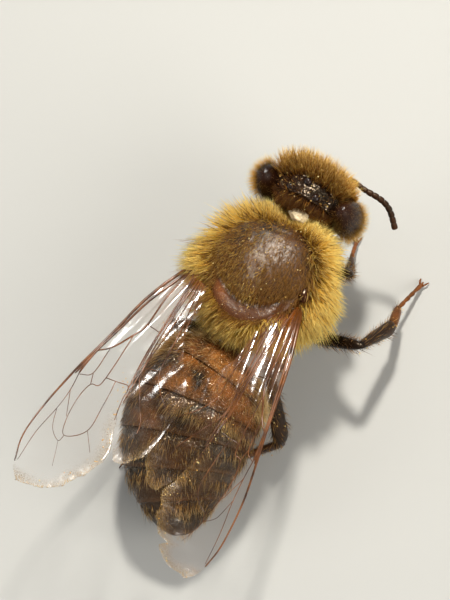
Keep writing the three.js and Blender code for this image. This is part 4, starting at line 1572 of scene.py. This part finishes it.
def makeHeadCoat():
    d, roots, out = scatterOnBall(headSkin, headCoat["count"], headDensity, pool=9)
    local, face, brow, crown, nape = headZones(d)
    z = local[:, 2]
    length = zoneLengths(headCoat, "cheek", face=face, brow=brow, crown=crown, nape=nape)
    length = length * ((0.35 + 1.05 * dice.uniform(0, 1, len(d)) ** 1.5)
                       * (1 - 0.5 * smoothStep(-z, 0.9, 1.4)))
    nearEye = 1 - smoothStep(insideEyes(local), 1.0, 1.5)
    length *= 1 - 0.55 * nearEye * (1 - brow)
    up = np.array([0, -0.3, 1.0]) @ headTurn.T
    ways = jitter(out + up * (0.35 * face)[:, None] - up * (0.3 * nape)[:, None]
                  + locks(roots, 5.0) * 0.3, 0.2)
    dark = dice.uniform(0, 1, len(d)) < 0.15 + 0.55 * crown + 0.35 * nape
    gold = hairMaterial("headHair", (62, 31, 11), (214, 138, 44), (255, 226, 124), (40, 21, 9),
                        turn=0.52)
    tone = np.clip(dark * 0.9 + 0.5 * face * smoothStep(z, 0.5, 0.95), 0, 0.9)
    growHair("head_coat", gold, roots - out * 0.02, ways, length, tone, ballUnwrap(d),
             jitter(out + up * 0.8, 0.5), radius=0.0068, curl=0.05 + 0.12 * nape[:, None])


eyeCoat = {
    "count": 1900,
    "shortest": 0.09,
    "longest": 0.32,
}


def makeEyeCoats():
    # short bristles standing on the eyes, longest at the rim
    fine = hairMaterial("eyeHair", (110, 62, 20), (240, 176, 72), (255, 240, 160), (40, 22, 10))
    for name, side in bothSides:
        def rim(d):
            rise = unit(d / head["eyeHalf"])[:, 2]
            return smoothStep(side * d[:, 0], 0.0, 0.3) * bumpAt(rise, 0.3 * side, 0.33)

        d, roots, out = scatterOnBall(eyeSkin(side), eyeCoat["count"],
                                      lambda d: (0.2 + rim(d)) * (side * d[:, 0] > -0.6))
        length = eyeCoat["shortest"] + (eyeCoat["longest"] - eyeCoat["shortest"]) * rim(d)
        length *= dice.uniform(0.6, 1.3, len(d))
        growHair("eye_hairs_" + name, fine, roots - out * 0.01, jitter(out, 0.16), length,
                 0.7 - 0.65 * rim(d), ballUnwrap(d), bend=0, radius=0.0052, rings=2)


abdomenCoat = {
    "count": 17000,
    "bandLength": 0.36,
    "frontLength": 0.42,
    "plainLength": 0.22,
    "bellyLength": 0.3,
    "lift": 0.42,
}


def makeAbdomenCoat():
    coat = abdomenCoat
    pool = coat["count"] * 6
    s = dice.uniform(0.02, 0.985, pool)
    angle = dice.uniform(0, 2 * np.pi, pool)
    place = abdomenSkin(s, angle)
    alongStep = abdomenPoint(np.minimum(s + 0.004, 0.999), angle) - abdomenPoint(s, angle)
    aroundStep = abdomenPoint(s, angle + 0.01) - abdomenPoint(s, angle)
    out = np.cross(aroundStep, alongStep)
    i, t = plateOf(s)
    upper = np.sin(angle)
    band = (1 - smoothStep(t + 0.26 * waviness(place, 3.1, 5), 0.05, 0.6)) * (i > 0)
    front = 1 - smoothStep(s, 0.14, 0.26)
    weight = np.linalg.norm(out, axis=1) * (
        0.3 + 0.7 * band * (i > 1) + 0.5 * front
        - (0.2 * (i < 2) + 0.5 * front) * smoothStep(upper, 0.3, 0.8))
    weight *= 1 - 0.65 * (i > 1) * smoothStep(np.cos(angle), 0.1, 0.6)
    weight *= (0.5 + smoothStep(waviness(place, 2.3, 8), -0.5, 0.4)) * np.where(i > 2, 0.6, 1)
    weight = np.maximum(weight, 0)
    chosen = dice.choice(pool, coat["count"], replace=False, p=weight / weight.sum())
    s, angle, place, i, upper, band, front, out, back = (
        v[chosen] for v in (s, angle, place, i, upper, band, front, unit(out), unit(alongStep)))
    out = out * np.sign((out * (place - abdomenLine(s)[0])).sum(1))[:, None]
    belly = smoothStep(-upper, -0.1, 0.5)
    length = zoneLengths(coat, "plain", band=band, belly=belly, front=front)
    length = length * dice.uniform(0.4, 1.4, len(s))
    lift = coat["lift"] + 0.6 * front - 0.25 * band * (i > 1)
    ways = jitter(back + locks(place, 3.0) * 0.45 + out * lift[:, None], 0.24)
    pale = np.clip((0.7 - 0.3 * (i > 2)) * band + 0.8 * front + 0.7 * belly + 0.18, 0, 1)
    dark = dice.uniform(0, 1, len(s)) > pale
    flat = np.stack([(angle / (2 * np.pi) + 0.25) % 1, s], 1)
    tan = hairMaterial("abdomenHair", (84, 52, 22), (186, 136, 70), (255, 226, 160), (26, 15, 8))
    growHair("abdomen_coat", tan, place - out * 0.02, ways, length, dark * 0.95, flat, back,
             radius=0.0062, rings=2)


def makeLegCoat():
    # hair on every limb piece, longest as fringes on the narrow edges
    hair = hairMaterial("legHair", (92, 56, 24), (188, 136, 70), (228, 192, 128))
    grown = []
    for k, (start, end, stations, broad, density, reach) in enumerate(limbsWithHair):
        size = np.linalg.norm(end - start)
        up = unit(end - start)
        wide = unit(np.array(broad) - up * np.dot(broad, up))
        across = np.cross(wide, up)
        shares, thicks, wides = np.array(stations).T
        n = int(density * size * np.mean(thicks + wides) * 320)
        q, a = dice.uniform(0.03, 0.97, n), dice.uniform(0, 2 * np.pi, n)
        thickAt = np.interp(q, shares, thicks)[:, None]
        wideAt = np.interp(q, shares, wides)[:, None]
        c, s = np.cos(a)[:, None], np.sin(a)[:, None]
        place = start + up * (q * size)[:, None] + (across * c * thickAt + wide * s * wideAt) * 0.92
        out = unit(across * c / thickAt + wide * s / wideAt)
        length = reach * (0.45 + 0.55 * np.abs(np.sin(a)) ** 2) * dice.uniform(0.5, 1.2, n)
        grown.append((q, a, np.full(n, k), place, out, np.tile(up, (n, 1)), length))
    share, angle, part, place, out, along, length = (np.concatenate(v) for v in zip(*grown))
    ways = jitter(out * 0.8 + along * 0.8, 0.2)
    rows = 6
    columns = math.ceil(len(limbsWithHair) / rows)
    flat = np.stack([(part % columns + angle / (2 * np.pi)) / columns,
                     (part // columns + share) / rows], 1)
    dark = dice.uniform(0, 1, len(part)) < 0.6
    growHair("leg_coat", hair, place, ways, length, dark * 0.9, flat, along, bend=0.3,
             radius=0.007, rings=2)


pollen = {
    "onThorax": 150,
    "onHead": 120,
    "onEachWing": 36,
    "onEachLimb": 12,
    "smallest": 0.012,
    "largest": 0.026,
}


def makePollen():
    # loose grains caught in the hair and on the wings
    bpy.ops.mesh.primitive_ico_sphere_add(subdivisions=1, radius=1)
    ball = bpy.context.active_object
    shape = readPoints(ball)
    faces = np.array([p.vertices[:] for p in ball.data.polygons])
    bpy.data.objects.remove(ball)
    places = []
    for skin, count, far in ((thoraxSkin, pollen["onThorax"], 0.5),
                             (headSkin, pollen["onHead"], 0.4)):
        _, place, out = scatterOnBall(skin, count, lambda d: 1 + 0.8 * (d[:, 2] > 0))
        places.append(place + out * dice.uniform(0, far, count)[:, None])
    some = pollen["onEachWing"]
    for name, _ in bothSides:
        u = dice.uniform(4, 9, some)
        v = np.interp(u, *np.array(wings["foreTrailing"]).T)
        v = v - np.abs(dice.normal(size=some)) * 0.2 - 0.04
        places.append(WingPlane(name).place(u, v, 0.02))
    some = pollen["onEachLimb"]
    for start, end, stations, *_ in limbsWithHair:
        q = dice.uniform(0, 1, some)[:, None]
        around = unit(dice.normal(size=(some, 3))) * max(wide for _, _, wide in stations)
        places.append(start + (end - start) * q + around)
    places = np.concatenate(places)
    sizes = dice.uniform(pollen["smallest"], pollen["largest"], len(places))
    points = (places[:, None, :] + shape[None] * sizes[:, None, None]).reshape(-1, 3)
    grains = (faces[None] + np.arange(len(places))[:, None, None] * len(shape)).reshape(-1, 3)
    material = plainMaterial("pollen", 2600.0, 2.0, (0.4, (214, 160, 52)),
                             (0.6, (236, 214, 140)), roughness=0.7)
    settle(meshFromArrays("pollen_grains", points, [grains]), material, "coat")


crumb = {
    # of pollen and wax, between head and back
    "middle": (-0.16, -2.12, 4.38),
    "halfSize": (0.32, 0.22, 0.16),
    "tilt": 24,
    "turn": -12,
}


def makeCrumb():
    bpy.ops.mesh.primitive_ico_sphere_add(subdivisions=4, radius=1)
    piece = justMade("pollen_crumb")
    spots = readPoints(piece)
    lumps = 1 + 0.28 * waviness(spots, 3.5, 2) + 0.1 * waviness(spots, 9, 6)
    spots = spots * lumps[:, None] * crumb["halfSize"]
    spots = spots @ turning("Z", crumb["turn"]).T @ turning("X", crumb["tilt"]).T
    writePoints(piece, spots + crumb["middle"])
    material = plainMaterial("wax", 12000.0, 4.0, (0.35, (206, 180, 132)),
                             (0.65, (238, 222, 186)), relief=0.00002, roughness=0.55,
                             specular=0.3)
    settle(piece, material, "coat")


addCamera()
addLamps()
addWorld()
addFloor()
print("camera, lamps and floor are set")
makeThorax()
makeHead()
makeEyes()
makeAbdomen()
makeNeckAndWaist()
print("made the body")
makeMouth()
makeFeelers()
makeLegs()
makeWings()
makeThoraxCoat()
makeHeadCoat()
makeEyeCoats()
makeAbdomenCoat()
makeLegCoat()
makePollen()
makeCrumb()

bpy.context.scene.view_settings.view_transform = "Standard"
